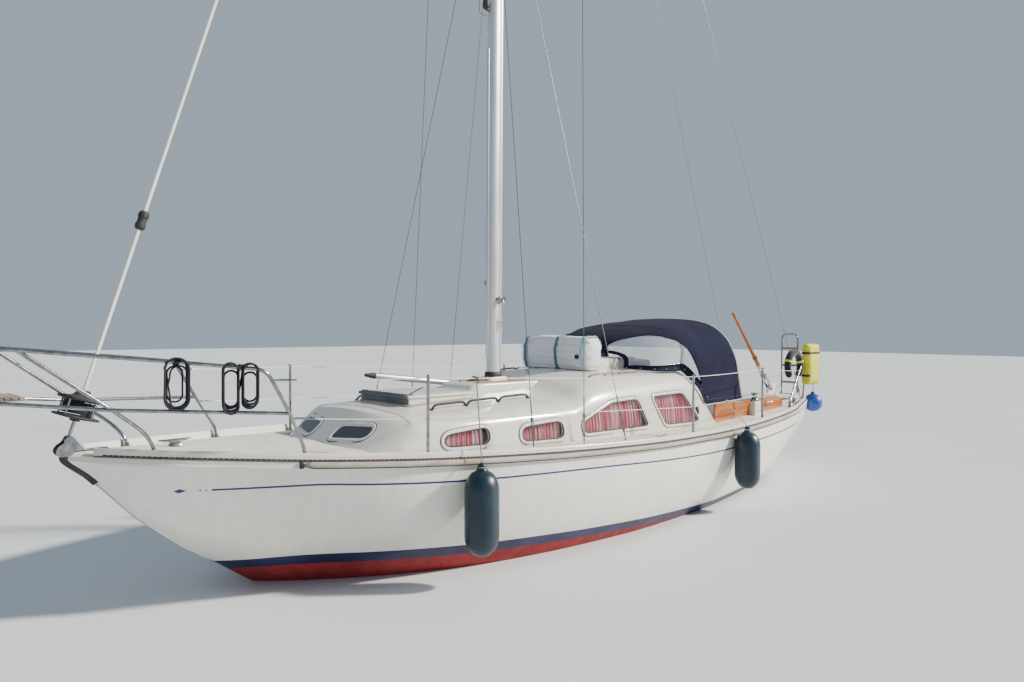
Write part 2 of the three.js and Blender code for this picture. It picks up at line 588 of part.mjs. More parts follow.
// Furling gear on the forestay: drum below, foil with its halyard swivel above
const stayDir = v(STAY_HEAD_X, 0, MAST_TOP_Z).sub(STAY_FOOT).normalize();
const stayAt = (z) => STAY_FOOT.clone().addScaledVector(stayDir, (z - STAY_FOOT.z) / stayDir.z);
const DRUM_Z = 1300;
const DRUM_TALL = 202;
const drumProfile = [[0, 0], [30, 0], [30, 12], [135, 20], [140, 34], [98, 40], [98, 128], [140, 134],
  [140, 152], [60, 160], [38, 200], [0, DRUM_TALL]];
node('furler_drum', turned(drumProfile, stayAt(DRUM_Z), stayAt(2000), 18), 'black');
const foilFoot = stayAt(DRUM_Z + DRUM_TALL * stayDir.z);
const foilLength = (MAST_TOP_Z - 130 - foilFoot.z) / stayDir.z;
const swivelAt = 1110;
node('furler_foil', turned([[0, GAP], [16, GAP], [16, swivelAt], [34, swivelAt + 12], [34, swivelAt + 120],
  [16, swivelAt + 132], [16, foilLength - 4], [0, foilLength - 4]], foilFoot, stayAt(3000), 8), 'aluminium');

// Stemhead fitting: plates on the deck, a bow roller and the toggle that holds the forestay
const plates = [1, -1].map((side) => loft([side * 34, side * 40].map((y) => [
  v(4390, y, 1050), v(4745, y, 1060), v(4760, y, 1120), v(4700, y, 1185), v(4590, y, 1215), v(4480, y, 1130),
])));
const sole = box(4380, 4700, -40, 40, 1040, 1112);
const roller = rod(v(4722, -36, 1120), v(4722, 36, 1120), 32, 14);
const toggle = rod(stayAt(1150), stayAt(DRUM_Z - 0.4), 14, 8);
const crossPin = rod(v(STAY_FOOT.x + 20, -36, 1180), v(STAY_FOOT.x + 20, 36, 1180), 9, 8);
const stemhead = union([...plates, sole, roller, toggle, crossPin]);
node('stemhead_fitting', stemhead.subtract(underDeck).subtract(canoeGrown), 'steel');

// Toe rails along the deck edge and the rubbing strakes below them
function edgeRail(x0, x1, corners) {
  const xs = [x0, ...SECTIONS.map((row) => row[0]).filter((x) => x < x0 && x > x1), x1];
  return loft(xs.map((x) => {
    const half = deckHalf(x);
    return corners.map(([y, z]) => v(x, half + y, sheerZ(x) + z));
  }));
}
const toeRail = edgeRail(4500, -4560, [[-6, -10], [-8, 62], [-34, 62], [-42, -10]]).subtract(underDeck);
node('toe_rail_port', toeRail, 'gelcoat');
node('toe_rail_starboard', mirror(toeRail), 'gelcoat');
const STRAKE = [[-60, -44], [26, -42], [30, -8], [22, 4], [0.3, 8], [-60, 8]];
const STRAKE_ENDS = [3420, -3720];
const strakeGrown = edgeRail(...STRAKE_ENDS, STRAKE.map(([y, z], k) => [y + GAP, k < 3 ? z - GAP : z + GAP]));
const deckGrown = loft(SECTIONS.map((row) => deckRing(row[0], row[1] + GAP, 40, 700)));
const strake = edgeRail(...STRAKE_ENDS, STRAKE).subtract(canoeGrown).subtract(deckGrown);
node('rub_strake_port', strake, 'teak');
node('rub_strake_starboard', mirror(strake), 'teak');

// Pulpit: points on the port side, from aft to the centreline
const RAIL_TOP = [v(3370, 733, 960), v(3372, 735, 1075), v(3512, 790, 1334), v(3680, 800, 1630),
  v(4140, 620, 1682), v(5020, 350, 1772), v(5230, 230, 1790)];
const RAIL_MID = [v(3512, 790, 1334), v(4483, 430, 1396), v(4940, 290, 1450), v(5060, 200, 1460)];
const FORE_LEG = [v(4190, 278, 1000), v(4195, 280, 1130), v(4280, 350, 1240), v(4483, 430, 1396),
  v(4960, 366, 1766)];
const RAIL_BEND = 65;
const across = (half) => [...half, ...half.map((p) => v(p.x, -p.y, p.z)).reverse()];
const topRail = (radius) => pipe(rounded(across(RAIL_TOP), RAIL_BEND), radius);
const midRail = (radius) => pipe(rounded(across(RAIL_MID), RAIL_BEND), radius);
const foreLeg = pipe(rounded(FORE_LEG, 60), TUBE_R);
const pulpit = union([topRail(TUBE_R), midRail(TUBE_R), foreLeg, mirror(foreLeg)]);
node('pulpit', pulpit.subtract(underDeck), 'steel');
const STEP = { x0: 4880, half0: 215, x1: 5065, half1: 190, z0: 1458, z1: 1484 };
const step = loft([[STEP.x0, STEP.half0], [STEP.x1, STEP.half1]].map(([x, y]) => [
  v(x, y, STEP.z0), v(x, y, STEP.z1), v(x, -y, STEP.z1), v(x, -y, STEP.z0),
]));
node('pulpit_step', step.subtract(midRail(TUBE_R + GAP)), 'slate');

// Pushpit: a triangular hoop on each quarter, open between them for the tiller
const PUSH_HOOP = [v(-3700, 838, 850), v(-3706, 838, 945), v(-4640, 628, 1588), v(-4690, 622, 1570),
  v(-4655, 585, 850)];
const pushHoop = (radius) => pipe(rounded(PUSH_HOOP, 70), radius);
const pushSeat = pushHoop(TUBE_R + GAP);
const pushpit = pushHoop(TUBE_R).subtract(underDeck);
node('pushpit_port', pushpit, 'steel');
node('pushpit_starboard', mirror(pushpit), 'steel');

// Guard rails: three stanchions a side, joined by two wires to pulpit and pushpit
const POSTS = [[2550, 1035], [-500, 1350], [-2340, 1140]];
const POST_TALL = 610;
const posts = POSTS.map(([x, y]) => rod(v(x, y, 820), v(x, y, sheerZ(x) + POST_TALL), TUBE_R, 8));
function guardWire(height, start, end, radius = 4) {
  return pipe([start, ...POSTS.map(([x, y]) => v(x, y, sheerZ(x) + height)), end], radius, 6);
}
const UPPER_WIRE = [POST_TALL - 15, v(3640, 798, 1560), v(-4270, 711, 1333)];
const LOWER_WIRE = [300, v(3500, 787, 1300), v(-4020, 767, 1161)];
const EYE_GAP = 1.2;
const guard = union([...posts, guardWire(...UPPER_WIRE), guardWire(...LOWER_WIRE)])
  .subtract(underDeck).subtract(topRail(TUBE_R + EYE_GAP)).subtract(pushHoop(TUBE_R + EYE_GAP));
node('guard_rail_port', guard, 'steel');
node('guard_rail_starboard', mirror(guard), 'steel');

// Cockpit: seats in one moulding that fills the deck opening, with the foot well hung below them
const RIM = 902;
const WELL_AFT_X = -3250;
const WALL = 30;
const tubOuter = cockpitPlan(GAP, COCKPIT_FORE_X - GAP, COCKPIT_AFT_X + GAP, SEAT_Z - WALL, RIM);
const wellFore = COCKPIT_FORE_X - 2 * WALL;
const wellInner = box(WELL_AFT_X + WALL, wellFore - WALL, -WELL_HALF, WELL_HALF, WELL_Z, SEAT_Z + 10);
const tubInner = cockpitPlan(WALL, COCKPIT_FORE_X - WALL, COCKPIT_AFT_X + WALL, SEAT_Z, 1300).add(wellInner);
const wellOuter = box(WELL_AFT_X, wellFore, -WELL_HALF - WALL, WELL_HALF + WALL, WELL_Z - WALL,
  SEAT_Z - WALL - GAP);
node('foot_well', wellOuter.subtract(wellInner), 'gelcoat');
const LOCKER = { x0: -2900, x1: -1900, y0: 360, y1: 730, thick: 20, edge: 25 };
const lockerCut = box(LOCKER.x0, LOCKER.x1, LOCKER.y0, LOCKER.y1 - 40, 600, 800);
const tub = tubOuter.subtract(tubInner).subtract(lockerCut).subtract(mirror(lockerCut));
node('cockpit_tub', tub, 'gelcoat');
const lid = box(LOCKER.x0 - LOCKER.edge, LOCKER.x1 + LOCKER.edge, LOCKER.y0 - LOCKER.edge, LOCKER.y1,
  SEAT_Z + GAP, SEAT_Z + LOCKER.thick);
node('locker_lid_port', lid, 'teak');
node('locker_lid_starboard', mirror(lid), 'teak');

// Varnished coamings along the cockpit
function coamingRing(x, top) {
  const y = cockpitHalf(x) + 34;
  const lean = 12;
  return [v(x, y - 12, 800), v(x, y + 12, 800), v(x, y + 12 + lean, top), v(x, y - 12 + lean, top)];
}
const COAMING = [[-1585, 1062], [-2400, 1040], [-3420, 1035], [-3600, 960]];
const coaming = loft(COAMING.map(([x, top]) => coamingRing(x, top))).subtract(underDeck).subtract(trunkGrown);
node('coaming_port', coaming, 'varnish');
node('coaming_starboard', mirror(coaming), 'varnish');

// Sprayhood: a canopy shell, open below and aft; rows [x, half width, side foot z, crown z]
const HOOD = [
  [-560, 470, 1440, 1640], [-700, 720, 1400, 1740], [-1050, 860, 1300, 1910], [-1500, 930, 1120, 2010],
  [-1950, 950, 1075, 2035],
];
const HOOD_RAKE = 0.42;
function hoodLoft(inset, start, end) {
  return loft(HOOD.map(([x, half, foot, crown], i) => {
    const w = half - inset;
    const top = crown - inset;
    const rows = [[w, foot - inset * 8], [w, lerp(foot, top, 0.45)], [w * 0.94, lerp(foot, top, 0.72)],
      [w * 0.72, lerp(foot, top, 0.92)], [w * 0.4, lerp(foot, top, 0.985)], [0, top]];
    const last = i === HOOD.length - 1;
    const run = i === 0 ? x - start : x - (last ? end : 0);
    const ring = rows.map(([y, z]) => v(run + (last ? HOOD_RAKE * (z - 1900) : 0), y, z));
    return [...ring, ...ring.slice(0, -1).map((p) => v(p.x, -p.y, p.z)).reverse()];
  }));
}
const hood = hoodLoft(0, 0, 0).subtract(hoodLoft(14, 14, 60)).subtract(trunkGrown)
  .subtract(trunkOuter.translate([0, 0, GAP])).subtract(trunkInner).subtract(underDeck)
  .subtract(box(-4000, -1400, -1100, 1100, 600, 1064)).subtract(garageGrown);
node('sprayhood', hood, 'navy');

// Hull half-breadth at a height, between two sections
function sideAt(x, z) {
  const i = SECTIONS.findIndex((row) => row[0] <= x);
  const widths = [i - 1, i].map((k) => {
    const side = sectionSide(SECTIONS[k], 0);
    const j = side.findIndex((p) => p.z <= z);
    return lerp(side[j - 1].y, side[j].y, (z - side[j - 1].z) / (side[j].z - side[j - 1].z));
  });
  return lerp(widths[0], widths[1], (x - SECTIONS[i - 1][0]) / (SECTIONS[i][0] - SECTIONS[i - 1][0]));
}

// Fenders against the port side: the fore one hangs from the upper guard wire, made fast a little aft of it,
// and the aft one straight down from the lower wire
const LANYARD_AFT = 120;
const FENDER_R = 130;
function fender(x, top, long, guard, aft) {
  const y = sideAt(x, top - FENDER_R) + FENDER_R;
  const profile = [[0, 0], [60, 12], [112, 70], [FENDER_R, 130], [FENDER_R, long - 120], [105, long - 55],
    [38, long - 10], [26, long + 40], [0, long + 42]];
  const body = turned(profile, v(x, y, top - long), v(x, y, top), 14);
  const i = POSTS.findIndex(([px]) => px <= x);
  const [a, b] = [POSTS[i - 1], POSTS[i]];
  const t = (x - aft - a[0]) / (b[0] - a[0]);
  const wire = v(x - aft, lerp(a[1], b[1], t), lerp(sheerZ(a[0]), sheerZ(b[0]), t) + guard[0]);
  const lanyard = rod(v(x, y, top + 20), wire, 5, 6);
  return body.add(lanyard).subtract(guardWire(...guard, 4.8)).subtract(canoeGrown).subtract(strakeGrown);
}
node('fender_fore', fender(2240, 875, 650, UPPER_WIRE, LANYARD_AFT), 'fender');
node('fender_aft', fender(-1300, 850, 610, LOWER_WIRE, 0), 'fender');

// Rolled inflatable dinghy, a bundle lashed across the doghouse roof: rows of [y, fore, aft, top]
const RAFT_FOOT = 1400;
const RAFT_EDGE = 60;
const RAFT = [[440, 25, -195, 1765], [405, 62, -232, 1815], [200, 75, -250, 1832], [-280, 75, -250, 1832],
  [-485, 62, -232, 1815], [-520, 25, -195, 1765]];
const raft = loft(RAFT.map(([y, fore, aft, top]) => [
  v(fore, y, RAFT_FOOT), v(fore, y, top - RAFT_EDGE), v(fore - RAFT_EDGE, y, top),
  v(aft + RAFT_EDGE, y, top), v(aft, y, top - RAFT_EDGE), v(aft, y, RAFT_FOOT),
]))
  .subtract(underRoof).subtract(garageGrown)
  .subtract(box(-1000, 2000, -PODIUM.half - 16, PODIUM.half + 16, 1000, PODIUM.top + GAP))
  .subtract(hoodLoft(-1, -1, -1));
node('rolled_dinghy', raft, 'raft');

// Boarding ladder, folded up behind the transom
const ladderHoop = [ladderPoint(LADDER.y0, 0), ladderPoint(LADDER.y0, LADDER.tall),
  ladderPoint(LADDER.y1, LADDER.tall), ladderPoint(LADDER.y1, 0)];
const RUNG_R = 11;
const rungs = [170, 420, 670].map((rise) => rod(
  ladderPoint(LADDER.y0, rise), ladderPoint(LADDER.y1, rise), RUNG_R, 8));
const ladderPin = rod(ladderPoint(LADDER.y0 - 28, 0), ladderPoint(LADDER.y1 + 28, 0), LADDER.pin, 12);
node('boarding_ladder', union([pipe(rounded(ladderHoop, 90), TUBE_R), ...rungs, ladderPin]), 'steel');

// Cleats: a low foot and a flat-topped horn bar
function cleat(x, y, z, turn) {
  const foot = box(-45, 45, -22, 22, -60, 40);
  const horn = loft([[-110, 8, 6], [-60, 13, 11], [60, 13, 11], [110, 8, 6]].map(([run, half, deep]) => [
    v(run, half, 52), v(run, -half, 52), v(run, -half, 52 - 2 * deep), v(run, half, 52 - 2 * deep)]));
  return foot.add(horn).rotate([0, 0, turn]).translate([x, y, z]).subtract(underDeck);
}
const bowCleatZ = sheerZ(3960) + DECK_CAMBER + 2;
const sternCleatZ = sheerZ(-4150) + 16;
node('bow_cleat', cleat(3960, 0, bowCleatZ, 0), 'steel');
const sternCleat = cleat(-4150, 690, sternCleatZ, 12);
node('stern_cleat_port', sternCleat, 'steel');
node('stern_cleat_starboard', mirror(sternCleat), 'steel');

// Spinnaker pole along the starboard side deck, hooked on a shroud forward and on two chocks aft
const POLE = { aft: v(-1480, -1125, 1050), fore: v(1728, -1048, 1428), r: 32 };
const poleAt = (t) => POLE.aft.clone().lerp(POLE.fore, t);
const poleLong = POLE.aft.distanceTo(POLE.fore);
const poleProfile = [[0, 0], [18, 4], [24, 60], [POLE.r, 130], [POLE.r, poleLong - 130], [24, poleLong - 60],
  [18, poleLong - 4], [0, poleLong]];
const chocks = [0.06, 0.3].map((t) => {
  const at = poleAt(t);
  return box(at.x - 30, at.x + 30, at.y - 38, at.y + 38, 800, at.z);
});
const hookedShroud = mirror(rod(FORE_LOWER.foot, FORE_LOWER.head, WIRE_R + GAP, 8));
node('spinnaker_pole', union([turned(poleProfile, POLE.aft, POLE.fore, 12), ...chocks])
  .subtract(underDeck).subtract(hookedShroud), 'aluminium');

// Safety gear and a ball fender on the port quarter
const BUOY = { x: -4190, y: 667, z: 1400, ring: 190, r: 50 };
const buoyArc = Array.from({ length: 11 }, (_, k) => {
  const angle = lerp(-0.9, Math.PI + 0.9, k / 10);
  return v(BUOY.x + BUOY.ring * Math.cos(angle), BUOY.y, BUOY.z + BUOY.ring * Math.sin(angle));
});
const buoy = pipe(buoyArc, BUOY.r, 8).subtract(pushSeat).subtract(guardWire(...UPPER_WIRE, 5));
node('horseshoe_buoy', buoy, 'black');
const BAG = { x0: -4830, x1: -4450, y0: 643, y1: 770, z0: 1130, z1: 1700 };
node('rescue_bag', box(BAG.x0, BAG.x1, BAG.y0, BAG.y1, BAG.z0, BAG.z1).subtract(pushSeat), 'yellow');
const BALL = { x: -4790, y: 680, z: 850, r: 130 };
const ballProfile = Array.from({ length: 9 }, (_, k) => {
  const angle = lerp(-Math.PI / 2, Math.PI / 2 - 0.25, k / 8);
  return [k === 0 ? 0 : BALL.r * Math.cos(angle), BALL.r * Math.sin(angle)];
});
// Its lanyard runs up to the bag
const lanyardTop = BAG.z0 - GAP - BALL.z;
const neckProfile = [[26, BALL.r + 20], [4, BALL.r + 34], [4, lanyardTop], [0, lanyardTop]];
const ballFender = turned([...ballProfile, ...neckProfile], v(BALL.x, BALL.y, BALL.z),
  v(BALL.x, BALL.y, BALL.z + 500), 12);
node('ball_fender', ballFender, 'blue');

// Mooring lines in hanks, hung over the pulpit's top rail
function hank(x, y, top, long, half, thick) {
  const outline = new THREE.Shape();
  outline.absarc(0, -half, half, 0, Math.PI, false);
  outline.absarc(0, half - long, half, Math.PI, 2 * Math.PI, false);
  const body = new THREE.ExtrudeGeometry(outline, { depth: thick, bevelEnabled: false, curveSegments: 6 });
  body.translate(0, 0, -thick / 2).rotateX(Math.PI / 2).rotateZ(-0.32).translate(x, y, top);
  return fromGeometry(body).subtract(topRail(TUBE_R + GAP));
}
node('mooring_hank_fore', hank(4170, 611, 1712, 330, 78, 80), 'rope');
node('mooring_hank_aft', hank(3825, 743, 1676, 330, 112, 86), 'rope');

export default group;
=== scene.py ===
"""Looks of a 9.4 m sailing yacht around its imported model.

Metres. +X is forward, +Y is port, +Z is up, and z is 0 at the waterline.
"""
import contextlib
import functools
import math

import bmesh
import bpy
import numpy as np
from mathutils import Matrix, Vector
from mathutils.bvhtree import BVHTree


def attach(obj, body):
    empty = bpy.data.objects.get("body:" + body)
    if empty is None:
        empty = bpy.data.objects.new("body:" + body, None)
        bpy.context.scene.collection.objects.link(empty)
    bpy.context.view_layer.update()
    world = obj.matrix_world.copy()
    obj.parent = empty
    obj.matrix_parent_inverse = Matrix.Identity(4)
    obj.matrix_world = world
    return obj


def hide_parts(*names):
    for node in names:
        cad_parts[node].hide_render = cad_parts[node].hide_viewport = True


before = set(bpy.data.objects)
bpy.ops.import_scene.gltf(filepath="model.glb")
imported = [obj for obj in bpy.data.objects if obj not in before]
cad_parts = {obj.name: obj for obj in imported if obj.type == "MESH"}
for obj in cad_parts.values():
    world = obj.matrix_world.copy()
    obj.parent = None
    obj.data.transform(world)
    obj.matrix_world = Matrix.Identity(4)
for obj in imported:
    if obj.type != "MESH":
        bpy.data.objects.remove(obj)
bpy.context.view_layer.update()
YACHT = "yacht"
SIDES = ((1, "port"), (-1, "starboard"))


# Materials
def shader(name):
    made = bpy.data.materials.new(name)
    made.use_nodes = True
    return made, made.node_tree, made.node_tree.nodes["Principled BSDF"]


def feed(node, inputs):
    """Sets a node's inputs to values, or links them to sockets."""
    for key, value in inputs.items():
        if isinstance(value, bpy.types.NodeSocket):
            node.id_data.links.new(value, node.inputs[key])
        else:
            node.inputs[key].default_value = value


def add(tree, kind, inputs=None, **settings):
    """A shader node with its settings and inputs."""
    made = tree.nodes.new("ShaderNode" + kind)
    for key, value in settings.items():
        setattr(made, key, value)
    feed(made, inputs or {})
    return made


def place(tree, scale=(1, 1, 1), turn=(0, 0, 0)):
    """Object coordinates, scaled and turned."""
    source = add(tree, "TexCoord").outputs["Object"]
    return add(tree, "Mapping", {"Vector": source, "Scale": scale, "Rotation": turn}).outputs["Vector"]


def ramp(tree, factor, stops):
    made = add(tree, "ValToRGB", {"Fac": factor})
    marks = made.color_ramp.elements
    while len(marks) < len(stops):
        marks.new(0.5)
    for mark, (at, colour) in zip(marks, stops):
        mark.position = at
        mark.color = (*colour, 1.0) if len(colour) == 3 else colour
    return made.outputs["Color"]


def math_node(tree, operation, first, second=0.5, third=0.5):
    return add(tree, "Math", {0: first, 1: second, 2: third}, operation=operation).outputs[0]


def noise(tree, vector, scale, detail=3.0, rough=0.5):
    made = add(tree, "TexNoise", {"Vector": vector, "Scale": scale, "Detail": detail, "Roughness": rough})
    return made.outputs["Fac"]


def bump(tree, bsdf, height, strength, distance):
    made = add(tree, "Bump", {"Height": height, "Strength": strength, "Distance": distance})
    feed(bsdf, {"Normal": made.outputs["Normal"]})


def span(tree, factor, low, high):
    """A factor from 0 to 1 mapped to a range."""
    return add(tree, "MapRange", {"Value": factor, "To Min": low, "To Max": high}).outputs[0]


def two_tone(low, high, spread=(0.35, 0.65)):
    return [(spread[0], low), (spread[1], high)]


def finish_of(name, low, high, rough, metal=0.0, grain=4.0, stretch=(1, 1, 1), relief=(0.15, 0.001, 60.0),
              spread=(0.35, 0.65)):
    """A finish whose colour drifts between two tones, with uneven gloss and a fine relief."""
    made, tree, bsdf = shader(name)
    where = place(tree, stretch)
    strength, distance, scale = relief
    bump(tree, bsdf, noise(tree, where, scale), strength, distance)
    feed(bsdf, {"Base Color": ramp(tree, noise(tree, where, grain, 4.0, 0.6), two_tone(low, high, spread)),
                "Roughness": span(tree, noise(tree, where, grain * 3.1), *rough), "Metallic": metal})
    return made


def gelcoat_finish(name, low, high):
    """White gelcoat with faint streaks that run down it and a clear gloss."""
    made, tree, bsdf = shader(name)
    streaks = noise(tree, place(tree, (7.0, 7.0, 0.7)), 1.6, 5.0, 0.6)
    clouds = noise(tree, place(tree), 1.3, 4.0, 0.6)
    both = math_node(tree, "MULTIPLY_ADD", streaks, 0.5, math_node(tree, "MULTIPLY", clouds, 0.5))
    bump(tree, bsdf, noise(tree, place(tree), 2.2, 2.0), 0.12, 0.004)
    feed(bsdf, {"Base Color": ramp(tree, both, two_tone(low, high, (0.38, 0.62))),
                "Roughness": span(tree, clouds, 0.16, 0.32), "Coat Weight": 0.35, "Coat Roughness": 0.08})
    return made


def nonskid_finish(name, low, high):
    """Deck moulding with a raised diamond grain for grip."""
    made, tree, bsdf = shader(name)
    where = place(tree, (1, 1, 0.2), (0, 0, math.radians(45)))
    dots = add(tree, "TexVoronoi", {"Vector": where, "Scale": 95.0, "Randomness": 0.0}, distance="CHEBYCHEV")
    bump(tree, bsdf, dots.outputs["Distance"], 0.6, 0.0025)
    drift = noise(tree, place(tree), 2.4, 5.0, 0.65)
    feed(bsdf, {"Base Color": ramp(tree, drift, two_tone(low, high)), "Roughness": 0.62})
    return made


def wood_finish(name, tones, spread, rough, coat, relief=0.25):
    """Wood with long grain along X; it has three tones from dark to light."""
    made, tree, bsdf = shader(name)
    figure = noise(tree, place(tree, (0.6, 9.0, 9.0)), 2.2, 8.0, 0.62)
    pores = noise(tree, place(tree, (3.0, 60.0, 60.0)), 4.0)
    both = math_node(tree, "MULTIPLY_ADD", figure, 0.75, math_node(tree, "MULTIPLY", pores, 0.25))
    bump(tree, bsdf, both, relief, 0.0012)
    feed(bsdf, {"Base Color": ramp(tree, both, list(zip(spread, tones))),
                "Roughness": span(tree, figure, *rough), "Coat Weight": coat, "Coat Roughness": 0.06})
    return made


def weave_finish(name, low, high, scale=420.0, rough=0.85, sheen=0.3):
    """Cloth woven of crossing threads, with slow drifts of wear."""
    made, tree, bsdf = shader(name)
    warp, weft = (add(tree, "TexWave", {"Vector": place(tree, stretch), "Scale": scale / 6.0,
                                        "Distortion": 0.4}, bands_direction=way).outputs["Fac"]
                  for stretch, way in (((1, 1, 0), "DIAGONAL"), ((1, 1, 1), "Z")))
    bump(tree, bsdf, math_node(tree, "MAXIMUM", warp, weft), 0.35, 0.0006)
    wear = noise(tree, place(tree), 3.0, 5.0, 0.65)
    feed(bsdf, {"Base Color": ramp(tree, wear, two_tone(low, high, (0.3, 0.75))), "Roughness": rough,
                "Specular IOR Level": 0.15, "Sheen Weight": sheen})
    return made


def rope_finish(name, low, high, fleck=None, scale=70.0):
    """Braided rope: crossing strands, with flecks of a second colour."""
    made, tree, bsdf = shader(name)
    uv = add(tree, "TexCoord").outputs["UV"]
    flip = add(tree, "Mapping", {"Vector": uv, "Scale": (1.0, -1.0, 1.0)}).outputs["Vector"]
    one, two = (add(tree, "TexWave", {"Vector": way, "Scale": scale, "Distortion": 0.0},
                    bands_direction="DIAGONAL").outputs["Fac"] for way in (uv, flip))
    strands = math_node(tree, "MULTIPLY", one, two)
    bump(tree, bsdf, strands, 0.5, 0.001)
    stops = [(0.1, low), (0.6, high)] + ([(0.82, fleck)] if fleck else [])
    feed(bsdf, {"Base Color": ramp(tree, strands, stops), "Roughness": 0.82})
    return made


def glass_finish(name, tint, alpha, rough=0.03):
    made, tree, bsdf = shader(name)
    bump(tree, bsdf, noise(tree, place(tree), 3.5, 2.0), 0.1, 0.004)
    tones = two_tone(tint, [c * 1.25 for c in tint])
    feed(bsdf, {"Base Color": ramp(tree, noise(tree, place(tree), 1.7, 2.0), tones), "Roughness": rough,
                "Alpha": alpha, "Specular IOR Level": 0.9})
    return made


def curtain_finish(name):
    """Cotton with upright stripes of red on white."""
    made, tree, bsdf = shader(name)
    stripes = noise(tree, place(tree, (1.0, 0.0, 0.02)), 46.0, 2.0, 0.55)
    red, pink, white = (0.62, 0.015, 0.06), (0.85, 0.30, 0.38), (0.92, 0.86, 0.85)
    stops = [(0.40, white), (0.46, pink), (0.51, red), (0.57, pink), (0.63, white)]
    bump(tree, bsdf, noise(tree, place(tree), 300.0, 2.0), 0.3, 0.0005)
    feed(bsdf, {"Base Color": ramp(tree, stripes, stops), "Roughness": 0.9})
    return made


WHITE = gelcoat_finish("hull gelcoat", (0.78, 0.77, 0.69), (0.88, 0.87, 0.79))
MOULD = gelcoat_finish("superstructure gelcoat", (0.68, 0.67, 0.60), (0.76, 0.745, 0.68))
SLATE = finish_of("slate grey moulding", (0.055, 0.075, 0.09), (0.09, 0.115, 0.135), (0.35, 0.6))
DECK = nonskid_finish("nonskid deck", (0.66, 0.62, 0.54), (0.76, 0.72, 0.64))
GREY_TREAD = nonskid_finish("grey tread", (0.36, 0.37, 0.38), (0.56, 0.56, 0.55))
NAVY_PAINT = finish_of("navy boot stripe", (0.008, 0.011, 0.05), (0.02, 0.026, 0.09), (0.3, 0.55))
BLUE_PAINT = finish_of("blue cove line", (0.006, 0.016, 0.1), (0.014, 0.03, 0.16), (0.25, 0.4))
RED_PAINT = finish_of("red bottom paint", (0.22, 0.012, 0.014), (0.36, 0.03, 0.03), (0.6, 0.85), grain=7.0,
                      relief=(0.35, 0.002, 40.0))
# The steel's base colour is darkened to stand in for reflections of dark surroundings: painted reflection
STEEL = finish_of("polished steel with painted dark reflections", (0.2, 0.205, 0.22), (0.36, 0.365, 0.38), (0.12, 0.28), 1.0, 20.0,
                  relief=(0.05, 0.0005, 200.0))
WIRE = finish_of("stranded wire", (0.14, 0.145, 0.15), (0.3, 0.3, 0.31), (0.3, 0.5), 1.0, 240.0,
                 relief=(0.4, 0.0006, 500.0))
COATED_WIRE = finish_of("white coated wire", (0.62, 0.62, 0.6), (0.78, 0.78, 0.76), (0.35, 0.55), grain=60.0)
ALUMINIUM = finish_of("anodised aluminium", (0.58, 0.6, 0.63), (0.72, 0.73, 0.75), (0.28, 0.45), 0.85, 5.0,
                      (1, 1, 0.15), (0.08, 0.0005, 120.0))
BRONZE = finish_of("dull bronze", (0.2, 0.12, 0.05), (0.42, 0.28, 0.1), (0.3, 0.55), 0.9, 12.0)
VARNISH = wood_finish("varnished mahogany", [(0.20, 0.042, 0.004), (0.40, 0.115, 0.012), (0.55, 0.18, 0.02)],
                      (0.3, 0.5, 0.68), (0.15, 0.4), 0.2)
TEAK = wood_finish("weathered teak", [(0.17, 0.12, 0.085), (0.36, 0.28, 0.22), (0.5, 0.42, 0.35)],
                   (0.3, 0.5, 0.7), (0.65, 0.9), 0.0, 0.5)
STRAKE_WOOD = wood_finish("sun bleached strake", [(0.24, 0.19, 0.15), (0.42, 0.36, 0.30), (0.54, 0.48, 0.41)],
                          (0.3, 0.5, 0.7), (0.6, 0.85), 0.0, 0.4)
CANVAS = weave_finish("navy canvas", (0.006, 0.007, 0.024), (0.012, 0.013, 0.038), 700.0, 0.95, 0.02)
PIPING = finish_of("white piping", (0.6, 0.6, 0.58), (0.75, 0.75, 0.73), (0.5, 0.75), grain=30.0)
SEAM_THREAD = finish_of("dark seam thread", (0.03, 0.035, 0.07), (0.05, 0.055, 0.1), (0.6, 0.8), grain=40.0)
VINYL = glass_finish("clear vinyl", (0.35, 0.4, 0.45), 0.3, 0.08)
PANE = glass_finish("tinted pane", (0.12, 0.13, 0.14), 0.12)
DARK_PANE = glass_finish("dark pane", (0.03, 0.03, 0.045), 0.85)
CURTAIN = curtain_finish("striped curtain")
RUBBER = finish_of("black rubber", (0.012, 0.012, 0.014), (0.03, 0.03, 0.032), (0.5, 0.8), grain=14.0)
FENDER = finish_of("fender vinyl", (0.002, 0.012, 0.023), (0.006, 0.028, 0.048), (0.25, 0.5), grain=6.0,
                   relief=(0.12, 0.001, 30.0), spread=(0.3, 0.7))
BLUE_VINYL = finish_of("blue buoy vinyl", (0.012, 0.05, 0.3), (0.03, 0.11, 0.52), (0.3, 0.5), grain=8.0)
YELLOW = weave_finish("yellow coated fabric", (0.58, 0.52, 0.03), (0.8, 0.75, 0.07), 300.0, 0.6, 0.1)
RAFT = weave_finish("white coated fabric", (0.66, 0.69, 0.73), (0.80, 0.82, 0.85), 240.0, 0.5, 0.1)
STRAP = weave_finish("teal webbing", (0.03, 0.11, 0.14), (0.08, 0.2, 0.24), 900.0, 0.8)
STRAP_PALE = weave_finish("pale webbing", (0.2, 0.42, 0.47), (0.4, 0.62, 0.66), 900.0, 0.8)
COVER_BLACK = weave_finish("black cover cloth", (0.012, 0.012, 0.018), (0.03, 0.03, 0.04), 500.0, 0.8)
ENGINE = finish_of("engine enamel", (0.08, 0.13, 0.11), (0.13, 0.19, 0.16), (0.35, 0.6))
DARK_ROPE = rope_finish("dark mooring rope", (0.012, 0.012, 0.02), (0.05, 0.05, 0.07))
GREY_ROPE = rope_finish("grey rope", (0.2, 0.19, 0.18), (0.5, 0.48, 0.45), (0.3, 0.32, 0.4))
WHITE_ROPE = rope_finish("white rope", (0.45, 0.44, 0.4), (0.74, 0.72, 0.67), (0.2, 0.25, 0.45))
